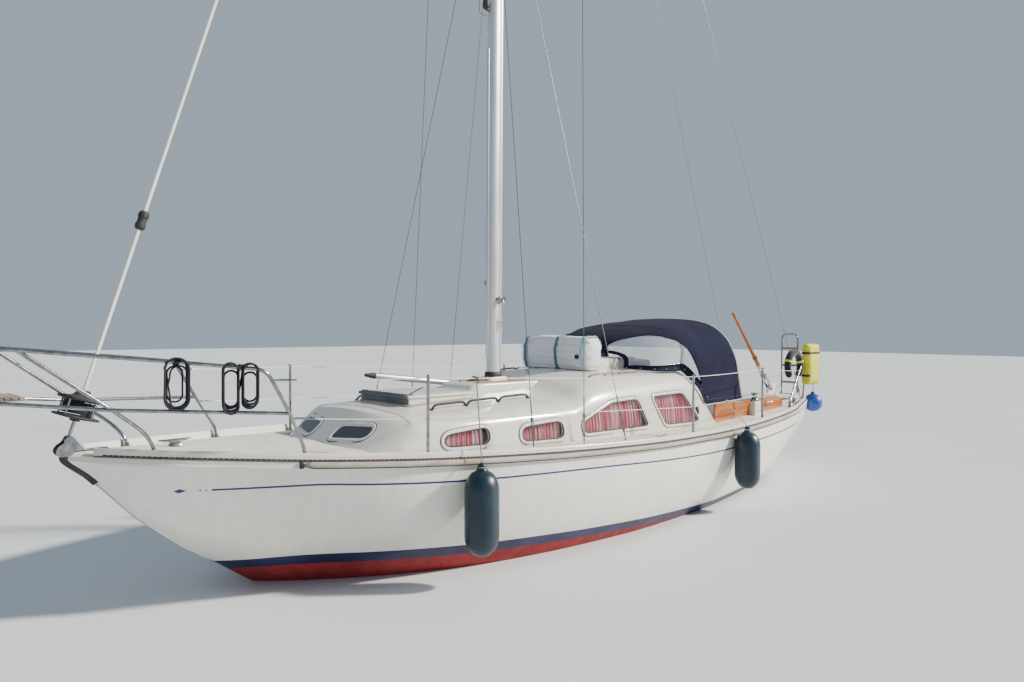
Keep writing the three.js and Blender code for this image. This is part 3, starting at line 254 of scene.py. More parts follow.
FURLING_LINE = rope_finish("furling line", (0.01, 0.01, 0.014), (0.05, 0.05, 0.06), (0.62, 0.62, 0.66), 40.0)
# Painted shade: a dark brown colour for the line of shade along the lower part of the toe rail's face
RAIL_FOOT_SHADE_PAINT = finish_of("painted shade along the toe rail's foot", (0.05, 0.035, 0.026), (0.11, 0.08, 0.06), (0.6, 0.8), grain=40.0)
FLOOR = finish_of("studio floor", (0.62, 0.64, 0.66), (0.66, 0.68, 0.7), (0.55, 0.65), grain=0.3)


# Shapes: each is (points, faces), joined and placed before it becomes a piece
def merged(*shapes):
    points, faces = [], []
    for shape_points, shape_faces in shapes:
        base = len(points)
        points.extend(Vector(p) for p in shape_points)
        faces.extend([base + i for i in face] for face in shape_faces)
    return points, faces


def moved(shape, matrix):
    return [matrix @ Vector(p) for p in shape[0]], shape[1]


def starboard(points):
    """Points of the port side, mirrored."""
    return [Vector((p[0], -p[1], p[2])) for p in points]


def port_to_starboard(shape):
    return starboard(shape[0]), [list(reversed(face)) for face in shape[1]]


def both_sides(shape):
    return merged(shape, port_to_starboard(shape))


def loft(rings, caps=True, closed=True):
    count = len(rings[0])
    points = [Vector(p) for ring in rings for p in ring]
    faces = []
    for i in range(len(rings) - 1):
        for j in range(count if closed else count - 1):
            a, b = i * count + j, i * count + (j + 1) % count
            faces.append([a, b, b + count, a + count])
    if caps:
        faces.append(list(range(count))[::-1])
        faces.append([(len(rings) - 1) * count + j for j in range(count)])
    return points, faces


def flat_ring(outline, level, axis="z"):
    """An outline set at a level along an axis; its own two axes keep their order."""
    spots = {"x": lambda a, b: (level, a, b), "y": lambda a, b: (a, level, b), "z": lambda a, b: (a, b, level)}
    return [spots[axis](a, b) for a, b in outline]


def prism(outline, levels, axis="z"):
    return loft([flat_ring(outline, level, axis) for level in levels])


def block(low, high):
    (x0, y0, z0), (x1, y1, z1) = low, high
    return prism([(x0, y0), (x1, y0), (x1, y1), (x0, y1)], (z0, z1))


def smooth_route(points, steps=6):
    """Catmull-Rom curve through the points."""
    p = [Vector(q) for q in points]
    p = [p[0] * 2 - p[1]] + p + [p[-1] * 2 - p[-2]]
    route = []
    for i in range(1, len(p) - 2):
        for k in range(steps):
            t = k / steps
            route.append(0.5 * ((2 * p[i]) + (p[i + 1] - p[i - 1]) * t
                                + (2 * p[i - 1] - 5 * p[i] + 4 * p[i + 1] - p[i + 2]) * t * t
                                + (3 * p[i] - p[i - 1] - 3 * p[i + 1] + p[i + 2]) * t ** 3))
    return route + [p[-2]]


def corner_arc(before, at, after, radius, share, steps):
    """An arc that rounds one corner; it takes no more than a share of either side."""
    a = at + (before - at).normalized() * min(radius, (before - at).length * share)
    b = at + (after - at).normalized() * min(radius, (after - at).length * share)
    return [a * (1 - t) ** 2 + at * 2 * t * (1 - t) + b * t * t for t in (k / steps for k in range(steps + 1))]


def round_route(points, radius, steps=6):
    """A route whose inner corners are arcs."""
    p = [Vector(q) for q in points]
    route = [p[0]]
    for corner in zip(p, p[1:], p[2:]):
        route += corner_arc(*corner, radius, 0.48, steps)
    return route + [p[-1]]


def round_outline(corners, radius, steps=5):
    """A closed outline whose corners are arcs."""
    p = [Vector((*c, 0)) for c in corners]
    made = []
    for corner in zip(p[-1:] + p[:-1], p, p[1:] + p[:1]):
        made += [(q.x, q.y) for q in corner_arc(*corner, radius, 0.45, steps)]
    return made


def rounded_box(x0, x1, half, radius, steps=5, far_half=None):
    """A rectangle about the X axis with round corners; its half-width may change from x0 to x1."""
    far = half if far_half is None else far_half
    return round_outline([(x0, half), (x0, -half), (x1, -far), (x1, far)], radius, steps)


def grown(outline, by):
    """An outline offset outward."""
    n = len(outline)
    area = sum(outline[i - 1][0] * outline[i][1] - outline[i][0] * outline[i - 1][1] for i in range(n))
    reach = by if area > 0 else -by
    made = []
    for i, (x, y) in enumerate(outline):
        (ax, ay), (bx, by_) = outline[i - 1], outline[(i + 1) % n]
        along = Vector((bx - ax, by_ - ay)).normalized()
        made.append((x + along.y * reach, y - along.x * reach))
    return made


def turns(count, start=0.0):
    """Even angles round a circle, in radians."""
    return [start + 2 * math.pi * k / count for k in range(count)]


def sweep(route, radius, sides=12, caps=True, flat=1.0):
    """A tube along a route; radius is one number or one for each point, flat squeezes it across."""
    p = [Vector(q) for q in route]
    radii = radius if hasattr(radius, "__len__") else [radius] * len(p)
    first = (p[1] - p[0]).normalized()
    side = (first.orthogonal() if abs(first.z) > 0.9 else first.cross(Vector((0, 0, 1)))).normalized()
    rings = []
    for i, q in enumerate(p):
        along = (p[min(i + 1, len(p) - 1)] - p[max(i - 1, 0)]).normalized()
        side = (side - along * side.dot(along)).normalized()
        up = along.cross(side)
        rings.append([q + side * (math.cos(a) * radii[i]) + up * (math.sin(a) * radii[i] * flat)
                      for a in turns(sides)])
    return loft(rings, caps)


def spin(profile, foot, axis=(0, 0, 1), sides=24):
    """A turned shape; profile rows are (radius, height along the axis)."""
    turn = Vector((0, 0, 1)).rotation_difference(Vector(axis).normalized()).to_matrix()
    rings = []
    for radius, height in profile:
        r = max(radius, 1e-4)
        rings.append([Vector(foot) + turn @ Vector((r * math.cos(a), r * math.sin(a), height))
                      for a in turns(sides)])
    return loft(rings)


def rod(start, end, radius, sides=12):
    return sweep([start, end], radius, sides)


def ball(centre, radius, sides=12):
    rows = [(radius * math.sin(math.pi * k / 8), -radius * math.cos(math.pi * k / 8)) for k in range(9)]
    return spin(rows, centre, (0, 0, 1), sides)


@contextlib.contextmanager
def edited(mesh):
    """A mesh that is open for editing."""
    work = bmesh.new()
    work.from_mesh(mesh)
    yield work
    work.to_mesh(mesh)
    work.free()


def blank(name, points, edges, faces):
    """A new object with a mesh of its own."""
    mesh = bpy.data.meshes.new(name)
    mesh.from_pydata([tuple(p) for p in points], edges, faces)
    made = bpy.data.objects.new(name, mesh)
    bpy.context.scene.collection.objects.link(made)
    return made


def raw(name, shape):
    """A mesh object without a finish, to cut with or to shape further."""
    made = blank(name, shape[0], [], shape[1])
    with edited(made.data) as work:
        bmesh.ops.remove_doubles(work, verts=work.verts, dist=1e-6)
        bmesh.ops.recalc_face_normals(work, faces=work.faces)
    return made


def piece(name, shape, material, body=YACHT, slot=None, stands_for=(), bevel=0.0, sharp=38.0, level=0,
          pick=None):
    """Makes a named piece from a shape; pick(face centre, normal) gives the material of a face."""
    made = blank(name, shape[0], [], shape[1])
    with edited(made.data) as work:
        bmesh.ops.remove_doubles(work, verts=work.verts, dist=1e-5)
        bmesh.ops.dissolve_degenerate(work, dist=1e-6, edges=work.edges)
        bmesh.ops.recalc_face_normals(work, faces=work.faces)
    for one in material if isinstance(material, (list, tuple)) else [material]:
        made.data.materials.append(one)
    if pick:
        for polygon in made.data.polygons:
            polygon.material_index = pick(polygon.center, polygon.normal)
    dress(made, body, stands_for, bevel, sharp, level)
    return made


def pair(name, shape, material, body=YACHT, slot=None, stands_for=None, **looks):
    """A piece of the port side and its mirror image; names, and a body that moves, end in their side's word."""
    for side, word in SIDES:
        piece(f"{name}_{word}", shape if side > 0 else port_to_starboard(shape), material,
              body if body == YACHT else f"{body}_{word}", slot,
              f"{stands_for}_{word}" if stands_for else (), **looks)


def shade(made, angle):
    made.data.shade_smooth()
    made.data.set_sharp_from_angle(angle=math.radians(angle))


def dress(made, body=YACHT, stands_for=(), bevel=0.0, sharp=38.0, level=0):
    """Smooths a piece, rounds its edges and hangs it on its body."""
    if bevel:
        edge = made.modifiers.new("edge", "BEVEL")
        edge.width, edge.segments, edge.limit_method, edge.angle_limit = bevel, 2, "ANGLE", math.radians(30)
    if level:
        soft = made.modifiers.new("soft", "SUBSURF")
        soft.levels = soft.render_levels = level
    shade(made, 180 if level else sharp)
    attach(made, body)
    if stands_for:
        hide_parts(*([stands_for] if isinstance(stands_for, str) else stands_for))


def walled(made, thick, offset=-1.0):
    """Gives a skin its thickness."""
    wall = made.modifiers.new("wall", "SOLIDIFY")
    wall.thickness, wall.offset = thick, offset


def settle(target):
    """Applies a piece's modifiers."""
    graph = bpy.context.evaluated_depsgraph_get()
    mesh = bpy.data.meshes.new_from_object(target.evaluated_get(graph))
    target.modifiers.clear()
    old = target.data
    target.data = mesh
    bpy.data.meshes.remove(old)


def cut(target, shapes, operation="DIFFERENCE"):
    """Cuts shapes out of a piece, or joins them to it."""
    for shape in shapes:
        tool = raw("tool", shape)
        change = target.modifiers.new("cut", "BOOLEAN")
        change.operation, change.object, change.solver = operation, tool, "EXACT"
        settle(target)
        bpy.data.objects.remove(tool)


def fair(xs, ys, x):
    """Monotone cubic through a table with falling xs; ys holds a row for each x."""
    xs, ys = np.array(xs, float)[::-1], np.array(ys, float)[::-1]
    step = np.diff(xs)[:, None]
    slope = np.diff(ys, axis=0) / step
    bend = np.zeros_like(ys)
    bend[0], bend[-1] = slope[0], slope[-1]
    same = slope[:-1] * slope[1:] > 0
    w1, w2 = 2 * step[1:] + step[:-1], step[1:] + 2 * step[:-1]
    with np.errstate(divide="ignore", invalid="ignore"):
        mean = (w1 + w2) / (w1 / slope[:-1] + w2 / slope[1:])
    bend[1:-1] = np.where(same, mean, 0.0)
    x = min(max(x, xs[0]), xs[-1])
    i = min(max(int(np.searchsorted(xs, x)) - 1, 0), len(xs) - 2)
    h = xs[i + 1] - xs[i]
    t = (x - xs[i]) / h
    return ((1 + 2 * t) * (1 - t) ** 2 * ys[i] + t * (1 - t) ** 2 * h * bend[i]
            + t * t * (3 - 2 * t) * ys[i + 1] + t * t * (t - 1) * h * bend[i + 1])


def table(rows, x):
    """What a table says at x: its rows start with x and run down."""
    return fair([row[0] for row in rows], [row[1:] for row in rows], x)


def value_at(rows, x):
    return float(table(rows, x)[0])


def lerp(a, b, t):
    return a + (b - a) * t


# Camera, where the photographer stood
CAMERA_AT = Vector((5.8836, 5.3067, 1.9024))
CAMERA_YAW, CAMERA_PITCH, CAMERA_ROLL = (math.radians(a) for a in (-134.41, -0.96, 0.30))
LENS = 26.04
ahead = Vector((math.cos(CAMERA_YAW) * math.cos(CAMERA_PITCH), math.sin(CAMERA_YAW) * math.cos(CAMERA_PITCH),
                math.sin(CAMERA_PITCH)))
right = ahead.cross(Vector((0, 0, 1))).normalized()
upward = right.cross(ahead)
camera_right = right * math.cos(CAMERA_ROLL) + upward * math.sin(CAMERA_ROLL)
camera_up = upward * math.cos(CAMERA_ROLL) - right * math.sin(CAMERA_ROLL)
camera = bpy.data.objects.new("camera", bpy.data.cameras.new("camera"))
bpy.context.scene.collection.objects.link(camera)
camera_turn = Matrix((camera_right, camera_up, -ahead)).transposed()
camera.matrix_world = Matrix.Translation(CAMERA_AT) @ camera_turn.to_4x4()
camera.data.lens, camera.data.sensor_width = LENS, 36.0
camera.data.clip_start, camera.data.clip_end = 0.1, 300.0
bpy.context.scene.camera = camera


# Hull form: [x, deck edge y, bilge y, bilge z, garboard y, garboard z, bottom z]
STEM_X, SKIN, DECK_THICK, CAMBER = 4.68, 0.032, 0.0253, 0.04
SECTIONS = [
    [4.652, 0.010, 0.008, 1.070, 0.005, 1.064, 1.060], [4.628, 0.030, 0.026, 1.052, 0.014, 1.042, 1.034],
    [4.520, 0.125, 0.085, 1.010, 0.035, 0.965, 0.945], [4.390, 0.210, 0.140, 0.930, 0.055, 0.850, 0.805],
    [4.235, 0.315, 0.205, 0.830, 0.075, 0.690, 0.633], [4.036, 0.435, 0.290, 0.720, 0.105, 0.520, 0.455],
    [3.874, 0.525, 0.350, 0.640, 0.130, 0.400, 0.326], [3.654, 0.650, 0.450, 0.540, 0.170, 0.270, 0.185],
    [3.418, 0.775, 0.560, 0.440, 0.215, 0.110, 0.015], [3.100, 0.915, 0.720, 0.330, 0.290, -0.050, -0.130],
    [2.600, 1.085, 0.960, 0.180, 0.440, -0.210, -0.270], [1.800, 1.255, 1.220, 0.030, 0.620, -0.370, -0.420],
    [0.900, 1.375, 1.380, -0.020, 0.720, -0.460, -0.500], [0.000, 1.430, 1.450, -0.040, 0.740, -0.500, -0.530],
    [-0.900, 1.405, 1.440, -0.030, 0.740, -0.470, -0.500], [-1.800, 1.320, 1.360, 0.020, 0.720, -0.380, -0.420],
    [-2.700, 1.180, 1.220, 0.100, 0.700, -0.240, -0.290], [-3.500, 1.020, 1.000, 0.330, 0.550, -0.110, -0.170],
    [-4.200, 0.800, 0.790, 0.450, 0.420, 0.110, 0.060], [-4.900, 0.580, 0.560, 0.520, 0.280, 0.330, 0.300],
]
RAKE, TRANSOM_TOP = 0.48, 0.9
COVE = [[3.87, 0.823], [3.32, 0.829], [2.98, 0.806], [2.30, 0.769], [1.06, 0.734], [-1.07, 0.659],
        [-3.68, 0.673]]
BOOT = [[3.80, 0.205], [3.18, 0.262], [2.84, 0.252], [2.14, 0.226], [1.45, 0.200], [0.56, 0.158],
        [-1.46, 0.085], [-3.0, 0.092], [-4.9, 0.13]]
BOOT_DEEP, COVE_HALF, COVE_FORE, COVE_AFT = 0.085, 0.0075, 3.86, -3.68


def sheer(x):
    s = STEM_X - x
    return 1.088 - 0.0817 * s + 0.00656 * s * s


def transom_x(z):
    return -STEM_X + RAKE * (TRANSOM_TOP - z)


@functools.lru_cache(None)
def deck_half(x):
    return float(table(SECTIONS, x)[0])


@functools.lru_cache(None)
def section(x, steps=200):
    """The hull's side at x, from deck edge to centreline, as two arrays y and z."""
    y0, y1, z1, y2, z2, z3 = table(SECTIONS, x)
    t = np.linspace(0, 1, steps)
    w = [(1 - t) ** 3, 3 * t * (1 - t) ** 2, 3 * t * t * (1 - t), t ** 3]
    return y0 * w[0] + y1 * w[1] + y2 * w[2], (sheer(x) - DECK_THICK) * w[0] + z1 * w[1] + z2 * w[2] + z3 * w[3]


def hull_side(x, z):
    """Half-breadth of the hull at a height."""
    ys, zs = section(x)
    return float(np.interp(z, zs[::-1], ys[::-1]))


def hull_point(x, z, out=0.0):
    """A point on the port side, lifted off the skin."""
    y = hull_side(x, z)
    lean = (hull_side(x, z + 0.02) - hull_side(x, z - 0.02)) / 0.04
    swing = (hull_side(x + 0.05, z) - hull_side(x - 0.05, z)) / 0.1
    normal = Vector((-swing, 1.0, -lean)).normalized()
    return Vector((x, y, z)) + normal * out


def hull_ring(x):
    """One ring of the hull with rows on the edges of its painted bands."""
    ys, zs = section(x)
    cove, boot = value_at(COVE, x), value_at(BOOT, x)
    marks = [max(m, zs[-1]) for m in (zs[0], cove + COVE_HALF, cove - COVE_HALF, boot, boot - BOOT_DEEP)]
    port = []
    for high, low, count in zip(marks, marks[1:], (6, 1, 16, 3)):
        for z in (lerp(high, low, k / count) for k in range(count)):
            port.append((x, float(np.interp(z, zs[::-1], ys[::-1])), z))
    order, under = np.arange(len(zs)), 14
    start = float(np.interp(marks[-1], zs[::-1], order[::-1]))
    for at in (lerp(start, len(zs) - 1, k / under) for k in range(under)):
        port.append((x, float(np.interp(at, order, ys)), float(np.interp(at, order, zs))))
    return port + [(x, 0.0, zs[-1])] + starboard(port)[::-1]


def cut_transom(work):
    """Cuts the hull's aft end to the transom's raked plane and closes it."""
    everything = work.verts[:] + work.edges[:] + work.faces[:]
    made = bmesh.ops.bisect_plane(work, geom=everything, plane_co=(transom_x(0.0), 0, 0),
                                  plane_no=Vector((-1.0, 0, -RAKE)).normalized(), clear_outer=True)
    edges = [e for e in made["geom_cut"] if isinstance(e, bmesh.types.BMEdge)]
    ends = [vert for vert in {q for e in edges for q in e.verts}
            if sum(e in edges for e in vert.link_edges) == 1]
    edges.append(work.edges.new(ends))
    bmesh.ops.contextual_create(work, geom=edges)


def hull_paint(at, normal):
    """Which of the hull's paints a face has."""
    boot = value_at(BOOT, at.x)
    if at.z < boot:
        return 2 if at.z < boot - BOOT_DEEP else 1
    on_cove = abs(at.z - value_at(COVE, at.x)) < COVE_HALF and COVE_AFT < at.x < COVE_FORE
    return 3 if on_cove and abs(normal.y) > 0.3 else 0


def build_hull():
    stations = [4.652, 4.645, 4.628] + [4.60 - 0.045 * k for k in range(28)]
    stations += list(np.linspace(3.30, -4.0, 66)) + list(np.linspace(-4.08, -4.9, 12))
    points, faces = loft([hull_ring(x) for x in stations], caps=False, closed=False)
    faces.append(list(range(len(points) // len(stations)))[::-1])
    made = raw("hull_moulding", (points, faces))
    with edited(made.data) as work:
        cut_transom(work)
        bmesh.ops.remove_doubles(work, verts=work.verts, dist=1e-5)
        bmesh.ops.recalc_face_normals(work, faces=work.faces)
        if sum((f.normal.y * f.calc_center_median().y) for f in work.faces) < 0:
            bmesh.ops.reverse_faces(work, faces=work.faces)
    for one in (WHITE, NAVY_PAINT, RED_PAINT, BLUE_PAINT):
        made.data.materials.append(one)
    for polygon in made.data.polygons:
        polygon.material_index = hull_paint(polygon.center, polygon.normal)
    walled(made, SKIN)
    dress(made, stands_for="hull", sharp=40)


build_hull()

# Marks ahead of the cove line: [x, height off the line's middle]
MARKS = [
    [(4.080, 0.0), (4.050, 0.016), (4.010, 0.0), (4.050, -0.016)],
    [(3.948, 0.0), (3.941, 0.007), (3.934, 0.0), (3.941, -0.007)],
    [(3.915, 0.0), (3.908, 0.007), (3.901, 0.0), (3.908, -0.007)],
]


def hull_mark(corners):
    edge = []
    for (x0, z0), (x1, z1) in zip(corners, corners[1:] + corners[:1]):
        edge += [(lerp(x0, x1, k / 4), lerp(z0, z1, k / 4)) for k in range(4)]
    return loft([[hull_point(x, value_at(COVE, x) + z, out) for x, z in edge] for out in (-0.0003, 0.0008)])


piece("cove_marks", both_sides(merged(*map(hull_mark, MARKS))), BLUE_PAINT, slot="gelcoat")

# Keel: [z, leading edge x, half thickness]
KEEL = [[0.16, 2.9, 0.17], [-0.4, 2.2, 0.15], [-0.7, 1.56, 0.14], [-1.0, 1.12, 0.15], [-1.3, 0.76, 0.165],
        [-1.4, 0.52, 0.14]]
FOIL = [(0, 0.0), (0.004, 0.17), (0.012, 0.31), (0.045, 0.6), (0.12, 0.86), (0.2, 0.96), (0.3, 1), (0.42, 0.97),
        (0.55, 0.88), (0.68, 0.72), (0.8, 0.52), (0.9, 0.3), (1, 0.02)]


def foil_ring(z, lead, trail, half, tail):
    side = [(lerp(lead, trail, u), max(half * f, tail if u > 0.5 else 0.0), z) for u, f in FOIL]
    return side + [(x, -y, q) for x, y, q in side[1:]][::-1]


def keel_shape():
    levels = [-1.4, -1.392, -1.37] + list(np.linspace(-1.33, 0.1, 26))
    rings = []
    for z in levels:
        lead, half = table(KEEL, z)
        shrink = {-1.4: 0.80, -1.392: 0.92, -1.37: 0.985}.get(z, 1.0)
        rings.append(foil_ring(z, lead - (1 - shrink) * 0.3, transom_x(z), half * shrink, 0.026 * shrink))
    return loft(rings)


APERTURE = [(-4.3, -0.25), (-3.38, -0.25), (-3.29, -0.31), (-3.265, -0.5), (-3.29, -0.7), (-3.38, -0.79),
            (-4.3, -0.79)]
keel = piece("keel_casting", keel_shape(), RED_PAINT, slot="antifouling", stands_for="keel", sharp=50)
cut(keel, [prism(round_route(APERTURE, 0.05, 4), (-0.3, 0.3), "y")])

# Cabin trunk: [x, base y, knuckle y, knuckle z, roof edge y, roof edge z, crown z]
LEVEL, NOSE_X, NOSE_LEAN, NOSE_LONG, AFT_X, AFT_LEAN = 0.97, 2.925, -1.28, 0.46, -1.489, 0.737
TRUNK = [
    [2.93, 0.700, 0.655, 1.150, 0.540, 1.205, 1.235], [2.56, 0.775, 0.735, 1.163, 0.620, 1.212, 1.250],
    [2.00, 0.860, 0.830, 1.165, 0.710, 1.216, 1.278], [1.30, 0.895, 0.862, 1.165, 0.745, 1.223, 1.305],
    [0.76, 0.920, 0.885, 1.165, 0.770, 1.232, 1.326], [0.47, 0.930, 0.898, 1.225, 0.775, 1.360, 1.430],
    [0.15, 0.940, 0.905, 1.240, 0.770, 1.415, 1.480], [-1.50, 0.950, 0.905, 1.250, 0.800, 1.430, 1.500],
]
TRUNK_BOTTOM = 0.80


def rounded_profile(points, passes=3):
    """Cuts the corners of a profile; its ends stay."""
    for _ in range(passes):
        cut_points = [points[0]]
        for a, b in zip(points, points[1:]):
            cut_points += [a * 0.75 + b * 0.25, a * 0.25 + b * 0.75]
        points = [cut_points[0]] + cut_points[2:-2] + [points[-1]]
    return points


@functools.lru_cache(None)
def trunk_profile(x, share, lean):
    """From below the deck up the side and over the roof to the centreline; share narrows it at the nose."""
    yb, yk, zk, ye, ze, zc = table(TRUNK, x)
    rise = (zc - ze) * (1 - share ** 2)
    rows = [(yb + (yb - yk) * 0.8, TRUNK_BOTTOM, 0), (yb, LEVEL, 0), (yk, zk + rise * 0.7, 0),
            (ye, ze + rise, 0), (ye * 0.75, lerp(ze, zc, 0.44) + rise * 0.56, 1),
            (ye * 0.5, lerp(ze, zc, 0.75) + rise * 0.25, 1),
            (ye * 0.25, lerp(ze, zc, 0.94) + rise * 0.06, 1), (0, zc, 1)]
    edge_run = lean * (ze + rise - LEVEL)
    points = [Vector((x + (edge_run if over else lean * (z - LEVEL)), y * share, z)) for y, z, over in rows]
    return rounded_profile(points)


def trunk_columns():
    columns = []
    for k in range(13):
        turn = math.pi / 2 * k / 12
        x = NOSE_X - NOSE_LONG * (1 - math.cos(turn) ** 0.8)
        columns.append((x, math.sin(turn) ** 0.75, NOSE_LEAN * math.cos(turn) ** 0.6))
    for x in [*np.linspace(2.40, 0.86, 16), *np.linspace(0.80, 0.14, 16), *np.linspace(0.04, AFT_X, 16)]:
        fade = min(1.0, max(0.0, (0.1 - x) / 1.4))
        columns.append((float(x), 1.0, AFT_LEAN * fade ** 2))
    return [trunk_profile(*column) for column in columns]


def trunk_side(x, z):
    """Half-breadth of the trunk's side at a height."""
    profile = trunk_profile(x, 1.0, 0.0)
    upto = max(range(len(profile)),
               key=lambda i: (profile[i].z < 1.34, i) if profile[i].y > 0.5 else (False, -1))
    return float(np.interp(z, [p.z for p in profile[:upto + 1]], [p.y for p in profile[:upto + 1]]))


def roof_height(x, y):
    """Height of the roof's skin, away from the nose and the aft end."""
    profile = trunk_profile(x, 1.0, 0.0)[::-1]
    return float(np.interp(abs(y), [p.y for p in profile[:-12]], [p.z for p in profile[:-12]]))


WINDOWS = [
    round_outline([(2.232, 0.975), (2.222, 1.068), (1.790, 1.100), (1.783, 0.962)], 0.088),
    round_outline([(1.432, 0.945), (1.424, 1.062), (0.930, 1.084), (0.922, 0.930)], 0.092),
    round_outline([(0.655, 0.945), (0.655, 1.045), (0.230, 1.195), (-0.175, 1.208), (-0.315, 0.935)], 0.055),
    round_outline([(-0.445, 1.215), (-0.995, 1.222), (-1.235, 0.930), (-1.190, 0.905), (-0.610, 0.918)], 0.05),
]
NOSE_WINDOW = round_outline([(0.145, 1.045), (0.155, 1.125), (0.480, 1.142), (0.512, 1.102), (0.490, 1.055),
                             (0.180, 1.035)], 0.036)
# Sections of the windows' frames and seals: (growth of the outline, lift off the skin)
FRAME = [(0.030, -0.001), (0.030, 0.006), (0.022, 0.010), (0.006, 0.010), (-0.002, 0.004), (-0.002, -0.014)]
OUTER_SEAL = [(0.036, -0.001), (0.036, 0.004), (0.029, 0.0045), (0.029, -0.001)]
INNER_SEAL = [(0.003, 0.006), (0.003, 0.0125), (-0.006, 0.011), (-0.006, 0.004)]
NOSE_FRAME = [(0.020, -0.002), (0.020, 0.005), (0.015, 0.008), (0.005, 0.008), (-0.002, 0.003),
              (-0.002, -0.014)]
NOSE_SEAL = [(0.025, -0.002), (0.025, 0.003), (0.019, 0.004), (0.019, -0.002)]
PANE_THICK = 0.004


def side_point(x, z, out):
    return Vector((x, trunk_side(x, z) + out, z))


def nose_point(y, z, out):
    """A point on the trunk's front, lifted off the skin."""
    spot, normal = trunk_skin.ray_cast(Vector((4.0, y, z)), Vector((-1, 0, 0)))[:2]
    return spot + normal * math.copysign(out, normal.x * out)


def band(outline, point, rows):
    """A ring that follows an outline on a skin; rows are (growth, lift off the skin)."""
    rings = [[point(a, b, out) for a, b in grown(outline, grow)] for grow, out in rows]
    return loft(rings + rings[:1], caps=False)


def pane(outline, point, out):
    return loft([[point(a, b, level) for a, b in outline] for level in (out, out - PANE_THICK)])


def trunk_moulding():
    """The cabin trunk's shell with its openings; gives back its outer skin for ray casts."""
    rings = [column + starboard(column[:-1])[::-1] for column in trunk_columns()]
    points, faces = loft(rings, caps=False, closed=False)
    # The aft bulkhead closes the last ring; the nose closes on the centreline by itself
    faces.append(list(range(len(points) - len(rings[0]), len(points))))
    made = raw("cabin_moulding", (points, faces))
    with edited(made.data) as work:
        bmesh.ops.remove_doubles(work, verts=work.verts, dist=2e-4)
        bmesh.ops.dissolve_degenerate(work, dist=1e-5, edges=work.edges)
        bmesh.ops.recalc_face_normals(work, faces=work.faces)
        if sum(f.normal.z * f.calc_area() for f in work.faces) < 0:
            bmesh.ops.reverse_faces(work, faces=work.faces)
    made.data.materials.append(MOULD)
    walled(made, 0.022)
    settle(made)
    skin = BVHTree.FromPolygons([v.co for v in made.data.vertices], [p.vertices[:] for p in made.data.polygons])
    cutters = [prism(outline, (-1.3, 1.3), "y") for outline in WINDOWS]
    cutters += [prism([(side * y, z) for y, z in NOSE_WINDOW], (2.3, 3.3), "x") for side, _ in SIDES]
    companionway = block((-1.8, -0.30, 0.93), (-0.62, 0.30, 1.9))
    fore_opening = block((1.60, -0.29, 1.05), (2.16, 0.29, 1.6))
    cut(made, cutters + [companionway, fore_opening])
    dress(made, stands_for="cabin_trunk", sharp=32)
    return skin


trunk_skin = trunk_moulding()
for index, outline in enumerate(WINDOWS, 1):
    gasket = merged(band(outline, side_point, OUTER_SEAL), band(outline, side_point, INNER_SEAL))
    piece(f"window_frame_{index}", both_sides(band(outline, side_point, FRAME)), PIPING if index < 3 else MOULD,
          slot="gelcoat", sharp=50)
    piece(f"window_gasket_{index}", both_sides(gasket), RUBBER, slot="black_plastic", sharp=50)
    piece(f"window_pane_{index}", both_sides(pane(grown(outline, 0.001), side_point, -0.004)), PANE,
          slot="window_glass", sharp=60)
piece("nose_window_frames", both_sides(band(NOSE_WINDOW, nose_point, NOSE_FRAME)), PIPING, slot="gelcoat",
      sharp=50)
piece("nose_window_gaskets", both_sides(band(NOSE_WINDOW, nose_point, NOSE_SEAL)), RUBBER, slot="black_plastic")
piece("nose_window_panes", both_sides(pane(NOSE_WINDOW, nose_point, -0.003)), DARK_PANE, slot="window_glass",
      sharp=60)


def curtain(outline, side, gap_aft):
    """A gathered curtain hung just inside a window, and its flat size."""
    xs, zs = [a for a, _ in outline], [b for _, b in outline]
    margin, row_count = 0.03, 8
    x0, x1, z0, z1 = min(xs) - margin + gap_aft, max(xs) + margin, min(zs) - margin, max(zs) + margin
    folds = max(6, int((x1 - x0) / 0.045))
    column_count = folds * 8
    columns = []
    for i in range(column_count + 1):
        x = lerp(x0, x1, i / column_count)
        wave = math.sin(2 * math.pi * folds * i / column_count) * (0.011 + 0.003 * math.sin(i * 0.7 + side))
        column = []
        for z in (lerp(z0, z1, j / row_count) for j in range(row_count + 1)):
            y = trunk_side(x, min(max(z, 0.9), 1.28)) - 0.045 - abs(z - 1.04) * 0.05 + wave
            column.append((x, side * y, z))
        columns.append(column)
    width = sum((Vector(b[0]) - Vector(a[0])).length for a, b in zip(columns, columns[1:]))
    return loft(columns, caps=False, closed=False), (width, z1 - z0)


for index, (outline, gap_aft) in enumerate(zip(WINDOWS, (0.06, 0.03, 0.06, 0.06)), 1):
    for side, word in SIDES:
        shape, flat = curtain(outline, side, gap_aft)
        hung = piece(f"curtain_{index}_{word}", shape, CURTAIN, slot="curtain", sharp=80)

